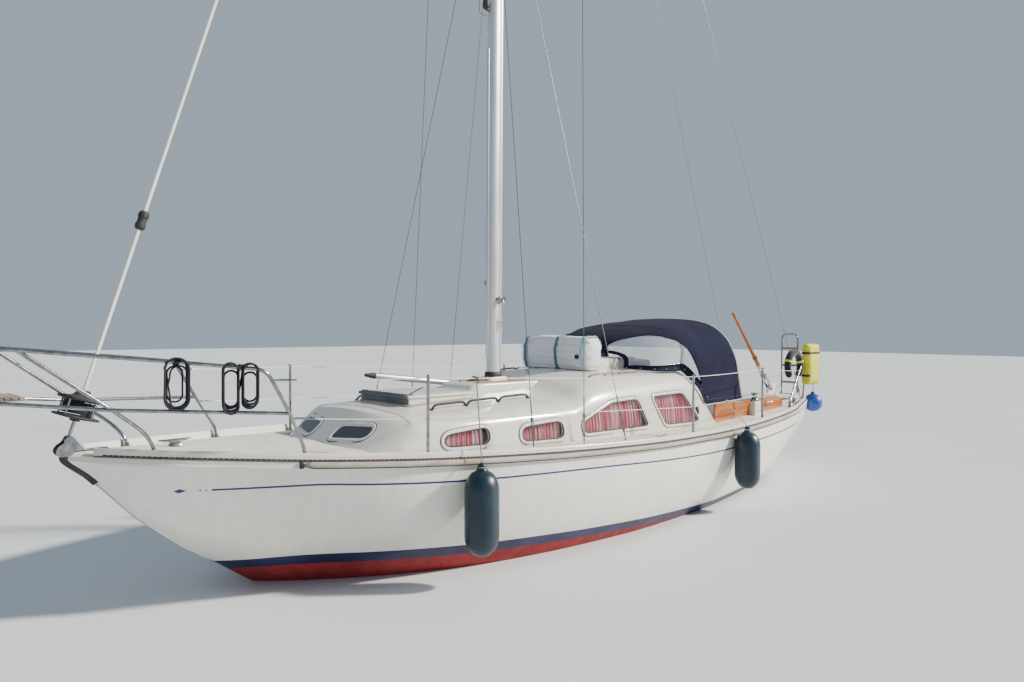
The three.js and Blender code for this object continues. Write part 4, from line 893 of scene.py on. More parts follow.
# Units set along a route by geometry nodes
def units_tree():
    """Sets copies of a unit along a route at an even pitch, with the unit's X along the route."""
    tree = bpy.data.node_groups.new("units along a route", "GeometryNodeTree")
    for name, kind in (("Route", "Geometry"), ("Unit", "Object"), ("Pitch", "Float"), ("Finish", "Material")):
        tree.interface.new_socket(name=name, in_out="INPUT", socket_type="NodeSocket" + kind)
    tree.interface.new_socket(name="Units", in_out="OUTPUT", socket_type="NodeSocketGeometry")
    kinds = {"source": "NodeGroupInput", "sink": "NodeGroupOutput", "curve": "GeometryNodeMeshToCurve",
             "even": "GeometryNodeResampleCurve", "tangent": "GeometryNodeInputTangent",
             "turn": "FunctionNodeAlignRotationToVector", "unit": "GeometryNodeObjectInfo",
             "copies": "GeometryNodeInstanceOnPoints", "real": "GeometryNodeRealizeInstances",
             "painted": "GeometryNodeSetMaterial"}
    nodes = {name: tree.nodes.new(kind) for name, kind in kinds.items()}
    nodes["even"].mode, nodes["turn"].axis = "LENGTH", "X"
    for source, output, sink, socket in (
            ("source", "Route", "curve", "Mesh"), ("curve", "Curve", "even", "Curve"),
            ("source", "Pitch", "even", "Length"), ("even", "Curve", "copies", "Points"),
            ("source", "Unit", "unit", "Object"), ("unit", "Geometry", "copies", "Instance"),
            ("tangent", "Tangent", "turn", "Vector"), ("turn", "Rotation", "copies", "Rotation"),
            ("copies", "Instances", "real", "Geometry"), ("real", "Geometry", "painted", "Geometry"),
            ("source", "Finish", "painted", "Material"), ("painted", "Geometry", "sink", "Units")):
        tree.links.new(nodes[source].outputs[output], nodes[sink].inputs[socket])
    return tree


UNITS = units_tree()


def strung(name, routes, unit_shape, pitch, material):
    """A piece made of units at an even pitch along routes that run towards +X."""
    points, edges = [], []
    for route in routes:
        edges += [(len(points) + i, len(points) + i + 1) for i in range(len(route) - 1)]
        points += route
    made = blank(name, points, edges, [])
    unit = raw("unit", unit_shape)
    change = made.modifiers.new("units", "NODES")
    change.node_group = UNITS
    values = {"Unit": unit, "Pitch": pitch, "Finish": material}
    for item in UNITS.interface.items_tree:
        if item.in_out == "INPUT" and item.name in values:
            change[item.identifier] = values[item.name]
    settle(made)
    bpy.data.objects.remove(unit)
    made.data.materials.clear()
    made.data.materials.append(material)
    dress(made)


# Deck edge: toe rails with their slots painted as shade, rubbing strakes and the guard on the stem
def edge_loft(x0, x1, section_rows, count=120, nose=0.0):
    """A moulding along the deck edge; section rows are (off the edge, above the sheer)."""
    rings = []
    for x in (float(x) for x in np.linspace(x0, x1, count)):
        near = min(1.0, max(0.0, min(x0 - x, x - x1) / nose)) if nose else 1.0
        size = math.sqrt(max(0.04, 1 - (1 - near) ** 2))
        half = deck_half(x)
        rings.append([(x, half + (y if y < 0.001 else y * size), sheer(x) + (z + 0.018) * size - 0.018)
                      for y, z in section_rows])
    return loft(rings)


RAIL_FORE, RAIL_AFT = 4.50, -4.56
TOE_RAIL = [(-0.006, 0.001), (-0.006, 0.040), (-0.009, 0.052), (-0.015, 0.060), (-0.027, 0.0605),
            (-0.033, 0.053), (-0.036, 0.020), (-0.040, 0.001)]
RAIL_FOOT_SHADE = [(-0.012, 0.0045), (0.0022, 0.0045), (0.0022, 0.0105), (-0.012, 0.0105)]
STRAKE = [(-0.012, -0.040), (0.016, -0.040), (0.025, -0.032), (0.028, -0.020), (0.026, -0.008), (0.018, 0.001),
          (-0.002, 0.004), (-0.014, 0.002)]
# Black strip under the strake's outer edge: partly its rubber edge, partly painted shade under the strake
STRAKE_FOOT_RUBBER_AND_SHADE = [(-0.012, -0.0415), (0.024, -0.0405), (0.0265, -0.036), (0.024, -0.0335), (-0.012, -0.0345)]
STRAKE_CAP = [(y * 1.06, z * 1.04) for y, z in STRAKE]
SLOT_PITCH, SLOT_OFF, SLOT_UP = 0.033, -0.0058, 0.016
pair("toe_rail_moulding", edge_loft(RAIL_FORE, RAIL_AFT, TOE_RAIL), MOULD, slot="gelcoat",
     stands_for="toe_rail", sharp=60)
# A dark brown band along the toe rail's lower face, proud of the hull: painted shade under the rail
pair("deck_edge_seam", edge_loft(RAIL_FORE, RAIL_AFT, RAIL_FOOT_SHADE), RAIL_FOOT_SHADE_PAINT, slot="weathered_wood", sharp=60)
pair("rubbing_strake", edge_loft(3.415, -3.72, STRAKE, nose=0.03), STRAKE_WOOD, slot="weathered_wood",
     stands_for="rub_strake", sharp=60)
# The strake's dark lower edge is partly rubber and partly painted shade; the small cap at its fore end is
# rubber
pair("strake_foot", merged(edge_loft(3.42, -3.722, STRAKE_FOOT_RUBBER_AND_SHADE, nose=0.02),
                           edge_loft(3.4295, 3.414, STRAKE_CAP, 6)), RUBBER, slot="black_plastic", sharp=60)
# The toe rails' slots are not cut: black blocks on the rail's outer face are painted shade where the holes
# would look dark
slot_shade_route = [Vector((x, deck_half(x) + SLOT_OFF, sheer(x) + SLOT_UP))
              for x in map(float, np.linspace(RAIL_AFT + 0.02, RAIL_FORE - 0.05, 120))]
for side, word in SIDES:
    strung(f"toe_rail_slots_{word}", [slot_shade_route if side > 0 else starboard(slot_shade_route)],
           block((-0.0142, -0.0016, -0.0038), (0.0142, 0.0016, 0.0038)), SLOT_PITCH, RUBBER)

def stem_point(z):
    """Forward edge of the stem at a height."""
    xs = [row[0] for row in SECTIONS if row[0] > 2.9]
    zs = [row[6] for row in SECTIONS if row[0] > 2.9]
    return float(np.interp(z, zs[::-1], xs[::-1]))


def stem_strip(z0, z1, half, proud, count):
    """A strip round the stem's edge; its section rows are shares of its height, depth and half-width."""
    section_rows = ((0, 1, -1), (0.2, 0.25, -0.95), (0.8, 0, -0.5), (1, 0, 0), (0.8, 0, 0.5),
                    (0.2, 0.25, 0.95), (0, 1, 1))
    rings = []
    for z in map(float, np.linspace(z0, z1, count)):
        slope = (stem_point(z + 0.03) - stem_point(z - 0.03)) / 0.06
        out = Vector((1, 0, -slope)).normalized()
        centre = Vector((stem_point(z), 0, z))
        rings.append([centre + out * proud * w - out * 0.045 * b + Vector((0, half * y, 0))
                      for w, b, y in section_rows])
    return loft(rings)


piece("stem_guard", stem_strip(1.085, 0.885, 0.034, 0.016, 14), RUBBER, slot="black_plastic", sharp=60,
      bevel=0.002)
piece("stem_band", stem_strip(0.884, -0.05, 0.011, 0.004, 40), STEEL, slot="stainless", sharp=60)

# Stemhead: cheek plates, sole, roller, pin and the toggle that holds the forestay
STAY_FOOT, MAST_TOP = Vector((4.592, 0, 1.262)), 12.59
STAY_DIR = (Vector((1.068, 0, MAST_TOP)) - STAY_FOOT).normalized()


def stay_at(z):
    return STAY_FOOT + STAY_DIR * ((z - STAY_FOOT.z) / STAY_DIR.z)


ROLLER_AT, PIN_AT = (4.662, 1.118), (4.612, 1.180)
cheek = round_outline([(4.490, 1.085), (4.600, 1.085), (4.672, 1.080), (4.694, 1.110), (4.682, 1.148),
                       (4.645, 1.170), (4.630, 1.206), (4.596, 1.212), (4.570, 1.170), (4.535, 1.125)], 0.018)
sole = prism(round_outline([(4.385, -0.040), (4.60, -0.040), (4.60, 0.040), (4.385, 0.040)], 0.012),
             (1.1045, 1.114))
half_roller = [(0.010, -0.033), (0.032, -0.033), (0.032, -0.026), (0.020, -0.010)]
roller_rows = half_roller + [(r, -h) for r, h in half_roller[::-1]]
pins = [rod((x, -half, z), (x, half, z), radius)
        for (x, z), half, radius in ((ROLLER_AT, 0.048, 0.007), (PIN_AT, 0.047, 0.009))]
toggle = merged(sweep([stay_at(1.165), stay_at(1.2995)], 0.0135, 12, flat=0.75), ball(stay_at(1.180), 0.02))
piece("stemhead_plates", merged(both_sides(prism(cheek, (0.034, 0.040), "y")), sole), STEEL, slot="stainless",
      stands_for="stemhead_fitting", bevel=0.0015)
piece("stemhead_pins", merged(*pins, toggle), STEEL, slot="stainless")
piece("bow_roller", spin(roller_rows, (ROLLER_AT[0], 0, ROLLER_AT[1]), (0, 1, 0), 20), RUBBER,
      slot="black_plastic", bevel=0.001)

# Furling gear
DRUM_FOOT, LINE_TURNS, LINE_R = stay_at(1.3), 9, 0.094
ACROSS = Vector((0, 1, 0))
STAY_FRONT = STAY_DIR.cross(ACROSS).normalized()


def round_stay(rise, radius, angle):
    """A point round the forestay, above the drum's foot."""
    out = ACROSS * (radius * math.cos(angle)) + STAY_FRONT * (radius * math.sin(angle))
    return DRUM_FOOT + STAY_DIR * rise + out


drum = [(0.030, 0.000), (0.030, 0.012), (0.060, 0.014), (0.134, 0.020), (0.140, 0.026), (0.138, 0.034),
        (0.098, 0.040)]
cap = [(0.098, 0.128), (0.138, 0.134), (0.140, 0.142), (0.137, 0.152), (0.080, 0.158), (0.060, 0.164),
       (0.040, 0.190), (0.034, 0.2015)]
piece("furler_cage", merged(*[spin(rows, DRUM_FOOT, STAY_DIR, 40) for rows in (drum, cap)]), RUBBER, "furler",
      "black_plastic", "furler_drum", bevel=0.0015)
wound = [round_stay(0.044 + 0.080 * k / (LINE_TURNS * 16), LINE_R, 2 * math.pi * k / 16)
         for k in range(LINE_TURNS * 16 + 1)]
piece("furling_line_turns", sweep(wound, 0.0048, 8), FURLING_LINE, "furler", "rope")
bars = [rod(round_stay(0.034, 0.122, a), round_stay(0.134, 0.122, a), 0.006, 8) for a in (0.5, 2.4, 3.9, 5.5)]
piece("furler_bars", merged(*bars), STEEL, "furler", "stainless")
foil_foot = DRUM_FOOT + STAY_DIR * 0.202
foil_long = (MAST_TOP - 0.13 - foil_foot.z) / STAY_DIR.z
piece("luff_foil", sweep([foil_foot + STAY_DIR * 0.0004, foil_foot + STAY_DIR * (foil_long - 0.004)], 0.0155,
                         16, flat=0.7), MOULD, "furler", "aluminium", "furler_foil")
swivel = [(0.017, 1.108), (0.026, 1.114), (0.033, 1.124), (0.034, 1.150), (0.029, 1.156), (0.029, 1.190),
          (0.034, 1.196), (0.034, 1.224), (0.027, 1.236), (0.017, 1.242)]
piece("halyard_swivel", spin(swivel, foil_foot, STAY_DIR, 24), RUBBER, "furler", "black_plastic", bevel=0.001)

# Pulpit, pushpits, stanchions and wires
TUBE, WIRE_R = 0.0125, 0.0034


def deck_height(x, y):
    half = deck_half(x)
    share = min(1.0, abs(y) / half)
    return sheer(x) + (lerp(CAMBER, CAMBER * 0.64, share / 0.6) if share < 0.6
                       else lerp(CAMBER * 0.64, 0.0, (share - 0.6) / 0.4))


def foot_plate(x, y, radius=0.032):
    rows = [(radius, -0.006), (radius, 0.005), (0.021, 0.008), (0.0175, 0.030), (0.013, 0.031)]
    return spin(rows, (x, y, deck_height(x, y)), (0, 0, 1), 20)


RAIL_TOP = [(3.370, 0.733, 0.97), (3.372, 0.735, 1.075), (3.512, 0.790, 1.334), (3.680, 0.800, 1.630),
            (4.140, 0.620, 1.682), (5.020, 0.350, 1.772), (5.230, 0.230, 1.790)]
RAIL_MID = [(3.512, 0.790, 1.334), (4.483, 0.430, 1.396), (4.940, 0.290, 1.450), (5.060, 0.200, 1.460)]
FORE_LEG = [(4.190, 0.278, 1.05), (4.195, 0.280, 1.130), (4.280, 0.350, 1.240), (4.483, 0.430, 1.396),
            (4.960, 0.366, 1.766)]
PUSH_HOOP = [(-3.700, 0.838, 0.87), (-3.706, 0.838, 0.945), (-4.640, 0.628, 1.588), (-4.690, 0.622, 1.570),
             (-4.655, 0.585, 0.87)]
hoops = [sweep(round_route([*half, *starboard(half)[::-1]], 0.072, 8), TUBE, 14)
         for half in (RAIL_TOP, RAIL_MID)]
legs = merged(sweep(round_route(FORE_LEG, 0.08, 8), TUBE, 14), foot_plate(3.370, 0.733),
              foot_plate(4.190, 0.278))
piece("pulpit_tubes", merged(*hoops, both_sides(legs)), STEEL, slot="stainless", stands_for="pulpit")
slats = [block((4.884 + 0.0355 * k, -0.196 + 0.006 * k / 5, 1.461),
               (4.912 + 0.0355 * k, 0.196 - 0.006 * k / 5, 1.4835)) for k in range(5)]
bearer = block((4.90, 0.095, 1.459), (5.05, 0.125, 1.4625))
piece("bow_step", merged(*slats, both_sides(bearer)), TEAK, slot="weathered_wood", stands_for="pulpit_step",
      bevel=0.002)
pushpit = [sweep(round_route(PUSH_HOOP, 0.08, 8), TUBE, 14), foot_plate(-3.700, 0.838, 0.030),
           foot_plate(-4.655, 0.585, 0.026)]
pair("pushpit_hoop", merged(*pushpit), STEEL, slot="stainless", stands_for="pushpit")

# Stanchions and guard wires
POSTS = [(2.55, 1.035), (-0.50, 1.35), (-2.34, 1.14)]
POST_TALL, LOWER_HEIGHT = 0.61, 0.300
UPPER_HEIGHT = POST_TALL - 0.015


def guard_wire(height, start, end):
    return [Vector(start)] + [Vector((x, y, sheer(x) + height)) for x, y in POSTS] + [Vector(end)]


def sagging(points, drop=0.006, steps=8):
    route = [points[0]]
    for a, b in zip(points, points[1:]):
        for t in (k / steps for k in range(1, steps + 1)):
            route.append(a.lerp(b, t) - Vector((0, 0, drop * 4 * t * (1 - t))))
    return route


def stanchion(x, y):
    deck, top = deck_height(x, y), sheer(x) + POST_TALL
    tube = sweep([(x, y, deck - 0.004), (x, y, top - 0.012), (x, y, top - 0.002)], [TUBE, TUBE, 0.0135], 14)
    knob = spin([(0.0135, 0), (0.013, 0.006), (0.008, 0.011), (0.001, 0.013)], (x, y, top - 0.002))
    base = block((x - 0.045, y - 0.03, deck - 0.01), (x + 0.045, y + 0.03, deck + 0.004))
    ferrule = rod((x, y, sheer(x) + 0.29), (x, y, sheer(x) + 0.31), 0.0155, 14)
    return merged(tube, knob, foot_plate(x, y, 0.036), base, ferrule)


def wire_fitting(end, toward):
    """The swage and the lock nut at a wire's end."""
    along = (toward - end).normalized()
    return merged(rod(end, end + along * 0.16, 0.0055, 10),
                  sweep([end + along * 0.03, end + along * 0.115], 0.0085, 6))


wires = [guard_wire(UPPER_HEIGHT, (3.640, 0.798, 1.560), (-4.270, 0.711, 1.333)),
         guard_wire(LOWER_HEIGHT, (3.500, 0.787, 1.300), (-4.020, 0.767, 1.161))]
fittings = [wire_fitting(*ends) for wire in wires for ends in (wire[:2], wire[:-3:-1])]
pair("stanchions", merged(*[stanchion(x, y) for x, y in POSTS], *fittings), STEEL, slot="stainless",
     stands_for="guard_rail", sharp=45)
pair("guard_wires", merged(*[sweep(sagging(wire), WIRE_R, 8) for wire in wires]), COATED_WIRE, slot="stainless")

# Mast, spreaders, masthead and heel
MAST_X, MAST_HEEL, SPREADER_Z, SPREADER_REACH = 0.94, 1.43, 7.0, 1.02


def mast_ring(z, grow=0.0):
    return [(MAST_X + (0.080 + grow) * math.cos(a), (0.055 + grow) * math.sin(a), z) for a in turns(28)]


def spreader(side):
    rings = []
    for t in (k / 12 for k in range(13)):
        reach, half, thick = SPREADER_REACH * t, lerp(0.046, 0.026, t), lerp(0.012, 0.009, t)
        rings.append([(MAST_X - reach * 0.06 + half * math.cos(a), side * reach,
                       SPREADER_Z + reach * 0.05 + thick * math.sin(a)) for a in turns(16)])
    root = block((MAST_X - 0.055, 0.045, SPREADER_Z - 0.03), (MAST_X + 0.055, 0.075, SPREADER_Z + 0.035))
    return merged(loft(rings), root if side > 0 else port_to_starboard(root))


tube = loft([mast_ring(z) for z in (MAST_HEEL, 4.0, 7.0, 10.0, MAST_TOP)])
tracks = [block((MAST_X + x0, -half, z0), (MAST_X + x1, half, z1))
          for x0, x1, half, z0, z1 in ((-0.094, -0.076, 0.013, 1.75, 12.45), (0.076, 0.088, 0.016, 1.62, 4.6),
                                       (0.072, 0.080, 0.009, 1.62, 4.6))]
crane = round_outline([(MAST_X - 0.165, 12.578), (MAST_X + 0.150, 12.578), (MAST_X + 0.150, 12.604),
                       (MAST_X - 0.165, 12.604)], 0.006)
head = merged(prism(crane, (-0.028, 0.028), "y"), loft([mast_ring(z, 0.004) for z in (12.50, 12.578)]))
piece("mast_tube", merged(tube, *tracks, head, spreader(1), spreader(-1)), ALUMINIUM, slot="aluminium",
      stands_for="mast", sharp=45)
collar = [(0.093, 1.432, 0.068), (0.096, 1.440, 0.071), (0.094, 1.475, 0.069), (0.086, 1.482, 0.061)]
rings = [[(MAST_X + a * math.cos(t), b * math.sin(t), z) for t in turns(32)] for a, z, b in collar]
piece("mast_heel_collar", loft(rings), RUBBER, slot="black_plastic", sharp=50)
heel = [flat_ring(round_outline([(MAST_X - 0.125 + g, -0.095 + g), (MAST_X + 0.125 - g, -0.095 + g),
                                 (MAST_X + 0.125 - g, 0.095 - g), (MAST_X - 0.125 + g, 0.095 - g)], 0.03), z)
        for z, g in ((1.3925, 0), (1.405, 0.002), (1.4315, 0.012))]
piece("mast_heel_plate", loft(heel), MOULD, slot="gelcoat", sharp=40)


def winch(at, axis, size=1.0):
    rows = [(0.040, 0.0), (0.041, 0.012), (0.034, 0.018), (0.028, 0.030), (0.026, 0.050), (0.030, 0.064),
            (0.038, 0.070), (0.038, 0.076), (0.016, 0.078), (0.010, 0.074)]
    return spin([(r * size, h * size) for r, h in rows], at, axis, 24)


mast_winches = [winch((MAST_X - 0.02, side * 0.052, z), (0, side, 0), 0.9)
                for side, z in ((1, 2.18), (-1, 2.35))]
piece("mast_winches", merged(*mast_winches), STEEL, slot="stainless", sharp=35)


def horn_cleat(at, along, out, size=0.1):
    """A two-horned cleat: at its foot, along its bar, out from its seat."""
    a, o, at = Vector(along).normalized(), Vector(out).normalized(), Vector(at)
    bar = smooth_route([at + a * (size * run) + o * rise for run, rise in
                        ((-1, 0.036), (-0.4, 0.027), (0, 0.025), (0.4, 0.027), (1, 0.036))], 4)
    half = len(bar) // 2
    radii = [lerp(0.0045, 0.0085, 1 - abs(i - half) / half) for i in range(len(bar))]
    legs = [rod(at + a * (k * size * 0.25), at + a * (k * size * 0.25) + o * 0.026, 0.007) for k in (-1, 1)]
    return merged(sweep(bar, radii, 10), *legs)


cleats = [horn_cleat((MAST_X - 0.03, s * 0.052, z), (0, 0, 1), (0, s, 0), 0.07)
          for s, z in ((1, 1.95), (-1, 1.98), (-1, 2.12))]
piece("mast_cleats", merged(*cleats), ALUMINIUM, slot="aluminium")
LAMP_Z = 4.98
lamp = spin([(0.030, 0.0), (0.034, 0.01), (0.034, 0.06), (0.026, 0.075), (0.005, 0.08)],
            (MAST_X + 0.115, 0, LAMP_Z), (0, 0, 1), 20)
seat = block((MAST_X + 0.075, -0.02, LAMP_Z - 0.012), (MAST_X + 0.12, 0.02, LAMP_Z + 0.004))
guard = [sweep(smooth_route([(MAST_X + x, y * wide, LAMP_Z + z)
                             for x, wide, z in ((0.078, 1.0, -0.05), (0.155, 1.3, -0.035),
                                                (0.155, 1.3, 0.105), (0.078, 1.0, 0.14))], 5), 0.0025, 6)
         for y in (-0.035, 0.035)]
piece("steaming_light", merged(lamp, seat, *guard), RUBBER, slot="black_plastic")

# Small fittings beside the windows
VENT_AT = (-1.233, 1.01)
vent = spin([(0.001, 0.014), (0.020, 0.013), (0.027, 0.007), (0.029, -0.004)], (0, 0, 0), (0, 1, 0), 20)
vent_foot = Matrix.Translation((VENT_AT[0], trunk_side(*VENT_AT) + 0.003, VENT_AT[1]))
vent_place = vent_foot @ Matrix.Diagonal((1, 1, 2, 1))
filler = spin([(0.001, 0.006), (0.026, 0.006), (0.030, 0.001)], (0.25, 1.27, deck_height(0.25, 1.27)),
              (0, 0, 1), 20)
side_cleat = horn_cleat((-0.10, 1.25, deck_height(-0.10, 1.25) + 0.002), (1, 0, 0), (0, 0, 1), 0.10)
piece("trunk_vents", both_sides(moved(vent, vent_place)), RUBBER, slot="black_plastic")
piece("deck_filler_caps", both_sides(filler), RUBBER, slot="black_plastic")
piece("side_deck_cleats", both_sides(side_cleat), STEEL, slot="stainless")

# Standing rigging: wire, swage, open rigging screw and toggle on its chainplate
STAYS = {
    "cap_shroud": [(1.020, 1.230, 0.890), (MAST_X - 0.0612, 1.0296, 7.05), (MAST_X, 0.02, MAST_TOP)],
    "fore_lower_shroud": [(1.585, 1.180, 0.900), (MAST_X + 0.04, 0, 6.83)],
    "aft_lower_shroud": [(0.480, 1.268, 0.890), (MAST_X - 0.04, 0, 6.83)],
    "backstay": [(-4.665, 0.550, 0.925), (MAST_X - 0.15, 0.024, 12.594)],
}


def stay_shape(points):
    foot, head = Vector(points[0]), Vector(points[1])
    along = (head - foot).normalized()
    across = along.cross(Vector((0, 1, 0))).normalized()

    def up(height, aside=0.0):
        return foot + along * height + across * aside

    shapes = [sweep([up(-0.03), up(0.045)], 0.0095, 10, flat=0.55),
              rod(up(0.022, -0.014), up(0.022, 0.014), 0.0055)]
    shapes += [rod(up(low), up(high), radius, 10) for low, high, radius in
               ((0.05, 0.105, 0.0065), (0.095, 0.112, 0.0135), (0.268, 0.287, 0.0135), (0.25, 0.345, 0.0065))]
    shapes += [rod(up(0.108, s), up(0.272, s), 0.0048, 8) for s in (-0.0095, 0.0095)]
    shapes += [sweep([up(0.335), up(0.35), up(0.42), up(0.43)], [0.0052, 0.0065, 0.0065, 0.0036], 10)]
    shapes += [rod(up(0.42), head, WIRE_R, 8)]
    for a, b in zip(points[1:], points[2:]):
        shapes += [ball(a, 0.009), rod(a, b, WIRE_R, 8)]
    plate = deck_height(foot.x, foot.y)
    shapes += [block((foot.x - 0.03, foot.y - 0.012, plate - 0.012),
                     (foot.x + 0.03, foot.y + 0.012, plate + 0.003))]
    return merged(*shapes)


for stay, points in STAYS.items():
    pair(f"{stay}_rigging", stay_shape(points), WIRE, slot="stainless", stands_for=stay, sharp=45)

# Fore hatch: frame, slate lid with a rolled fore edge, and hinges
HATCH_X0, HATCH_X1, HATCH_HALF, HATCH_TOP, LID = 1.50, 2.26, 0.37, 1.318, 0.026
HATCH_FOOT = rounded_box(HATCH_X0 + 0.012, HATCH_X1 - 0.02, HATCH_HALF - 0.015, 0.05, 6)


def roof_seat(outline, top, lift=0.0004):
    """A solid that stands on the roof: its outline in plan, from the roof's skin up to a height."""
    low = [(x, y, roof_height(x, y) + lift) for x, y in outline]
    return low, [(x, y, top) for x, y in outline]


def fore_edge(at, normal):
    """The hatch's fore edge is slate, the rest is white."""
    return 1 if normal.x > 0.35 and at.x > HATCH_X1 - 0.06 else 0


low, high = roof_seat(HATCH_FOOT, HATCH_TOP)
inner_low, inner_high = roof_seat(rounded_box(1.545, 2.215, 0.325, 0.03, 6), HATCH_TOP)
piece("fore_hatch_coaming", loft([low, high, inner_high, inner_low, low], caps=False), [MOULD, SLATE],
      slot="gelcoat", stands_for="fore_hatch_frame", bevel=0.004, pick=fore_edge)
base = grown(HATCH_FOOT, 0.001)
trim = [[(x, y, roof_height(x, y) + h) for x, y in grown(base, g)] for g, h in
        ((0, 0.0005), (0.014, 0.0005), (0.014, 0.012), (0.010, 0.015), (0, 0.015), (0, 0.0005))]
piece("fore_hatch_trim", loft(trim, caps=False), TEAK, slot="weathered_wood", sharp=60)
plan = rounded_box(HATCH_X0, HATCH_X1, HATCH_HALF, 0.055, 7)
lid_rows = [(-0.004, 0.0003), (0.0, 0.004), (0.0, LID - 0.006), (-0.006, LID - 0.0005), (-0.045, LID),
            (-0.052, LID - 0.004), (-0.058, LID - 0.004)]
tread_rows = [(-0.062, LID - 0.0042), (-0.064, LID - 0.0007)]
lid, tread = (loft([flat_ring(grown(plan, g), HATCH_TOP + h) for g, h in rows])
              for rows in (lid_rows, tread_rows))
piece("fore_hatch_cover", lid, [MOULD, SLATE], "fore_hatch", "slate", "fore_hatch_lid", sharp=40,
      pick=fore_edge)
piece("fore_hatch_tread", tread, GREY_TREAD, "fore_hatch", "slate", sharp=60)
lip = [(HATCH_X1 - 0.10, 0.345, -0.002), (HATCH_X1 - 0.022, 0.335, 0.002), (HATCH_X1 - 0.010, 0, 0.006)]
lip = [(x, y, HATCH_TOP + LID + z) for x, y, z in lip]
piece("fore_hatch_lip", sweep(round_route(lip + starboard(lip[-2::-1]), 0.05, 5), 0.010, 10), SLATE,
      "fore_hatch", "slate")
hinges = [block((HATCH_X0 - 0.012, y - 0.03, HATCH_TOP + 0.006),
                (HATCH_X0 + 0.002, y + 0.03, HATCH_TOP + 0.024)) for y in (-0.22, 0.22)]
hinges += [rod((HATCH_X0 - 0.008, y - 0.034, HATCH_TOP + 0.0123),
               (HATCH_X0 - 0.008, y + 0.034, HATCH_TOP + 0.0123), 0.006) for y in (-0.22, 0.22)]
piece("fore_hatch_hinges", merged(*hinges), STEEL, "fore_hatch", "stainless", bevel=0.001)

# Mast step on the roof
PODIUM_TOP = 1.392
step_rows = [(x, lerp(0.255, 0.237, (x - 0.30) / 1.04), PODIUM_TOP) for x in np.linspace(0.30, 1.34, 14)]
step_rows += [(1.390, 0.226, PODIUM_TOP - 0.010), (1.420, 0.210, PODIUM_TOP - 0.028),
              (1.430, 0.205, PODIUM_TOP - 0.040)]
rings = []
for x, half, top in step_rows:
    seat = min(roof_height(x, half) - 0.015, top - 0.030)
    side = [Vector((x, half + 0.013, seat)), Vector((x, half + 0.004, (top - 0.012 + seat) / 2)),
            Vector((x, half, top - 0.012)), Vector((x, half - 0.012, top)), Vector((x, half * 0.5, top))]
    rings.append(side + starboard(side[::-1]))
piece("mast_step", loft(rings), MOULD, slot="gelcoat", stands_for="mast_podium", bevel=0.004, sharp=45)
pin_rail = round_outline([(0.62, 0.15), (0.62, 0.115), (1.26, 0.115), (1.26, 0.15)], 0.006)
piece("mast_step_pin_rails", both_sides(prism(pin_rail, (PODIUM_TOP + 0.0005, PODIUM_TOP + 0.014))), VARNISH,
      slot="varnished_wood", bevel=0.002)
rivets = [rod((x, 0.1505, PODIUM_TOP + 0.008), (x, 0.1525, PODIUM_TOP + 0.008), 0.006, 10)
          for x in (0.68 + k * 0.087 for k in range(7))]
piece("pin_rail_rivets", both_sides(merged(*rivets)), RUBBER, slot="black_plastic")
blocks = []
for x, y in ((0.80, 0.085), (0.80, -0.085), (1.10, 0.085), (1.12, -0.085)):
    sheave = [(0.004, -0.009), (0.022, -0.009), (0.024, 0), (0.022, 0.009), (0.004, 0.009)]
    blocks.append(spin(sheave, (x, y, PODIUM_TOP + 0.028), (0, 1, 0), 16))
    blocks.append(block((x - 0.012, y - 0.013, PODIUM_TOP + 0.0006), (x + 0.012, y + 0.013, PODIUM_TOP + 0.03)))
piece("turning_blocks", merged(*blocks), STEEL, slot="stainless", bevel=0.001)

# Sliding hatch, its garage and the washboards
GARAGE = {"x0": -0.64, "x1": -0.02, "half": 0.385, "top": 1.590, "crown": 0.012, "corner": 0.03, "wall": 0.018}
SLIDER = {"x0": -1.21, "x1": -0.655, "half": 0.345, "top": 1.554}


def garage_ring(x, drop, top_drop, seat_x=None):
    """A ring of the garage: a crowned cover on the roof, drawn in by a distance."""
    half, top = GARAGE["half"] - drop, GARAGE["top"] - top_drop
    corner, crown = GARAGE["corner"], GARAGE["crown"]
    seat = roof_height(x if seat_x is None else seat_x, half) + 0.0006
    side = [(half, seat), (half, top - corner * 1.1), (half - corner * 0.3, top - corner * 0.3),
            (half - corner * 1.1, top)] + [(half * k, top + crown * (1 - k * k)) for k in (0.6, 0.3, 0)]
    side = [Vector((x, y, z)) for y, z in side]
    return side + starboard(side[:-1][::-1])


def garage_shape():
    x0, x1, wall = GARAGE["x0"], GARAGE["x1"], GARAGE["wall"]
    rings = [garage_ring(x, 0, 0) for x in (x0, lerp(x0, x1, 0.5), x1 - 0.03)]
    rings += [garage_ring(x1 - 0.006, 0.006, 0.012, x1), garage_ring(x1, 0.02, 0.03)]
    inner = [garage_ring(x, wall, wall) for x in (x1 - wall, x0)]
    return loft(inner + rings + rings[-1:])


piece("hatch_hood", garage_shape(), MOULD, slot="gelcoat", stands_for="hatch_garage", sharp=45, bevel=0.003)


def slider_ring(x, drop=0.0):
    """The sliding hatch is a crowned lid whose side lips run on the roof."""
    half, top = SLIDER["half"] - drop, SLIDER["top"] - drop
    seat = roof_height(x, half) + 0.006
    outer = [(half, seat), (half, top - 0.03), (half - 0.010, top - 0.008), (half - 0.035, top),
             (half * 0.6, top + 0.008), (half * 0.3, top + 0.011), (0, top + 0.012)]
    inner = [(0, top - 0.010), (half * 0.3, top - 0.011), (half * 0.6, top - 0.014), (half - 0.04, top - 0.022),
             (half - 0.018, top - 0.04), (half - 0.018, seat)]
    outer, inner = ([Vector((x, y, z)) for y, z in rows] for rows in (outer, inner))
    return outer[:-1] + starboard(outer[::-1]) + starboard(inner[::-1]) + inner[1:]


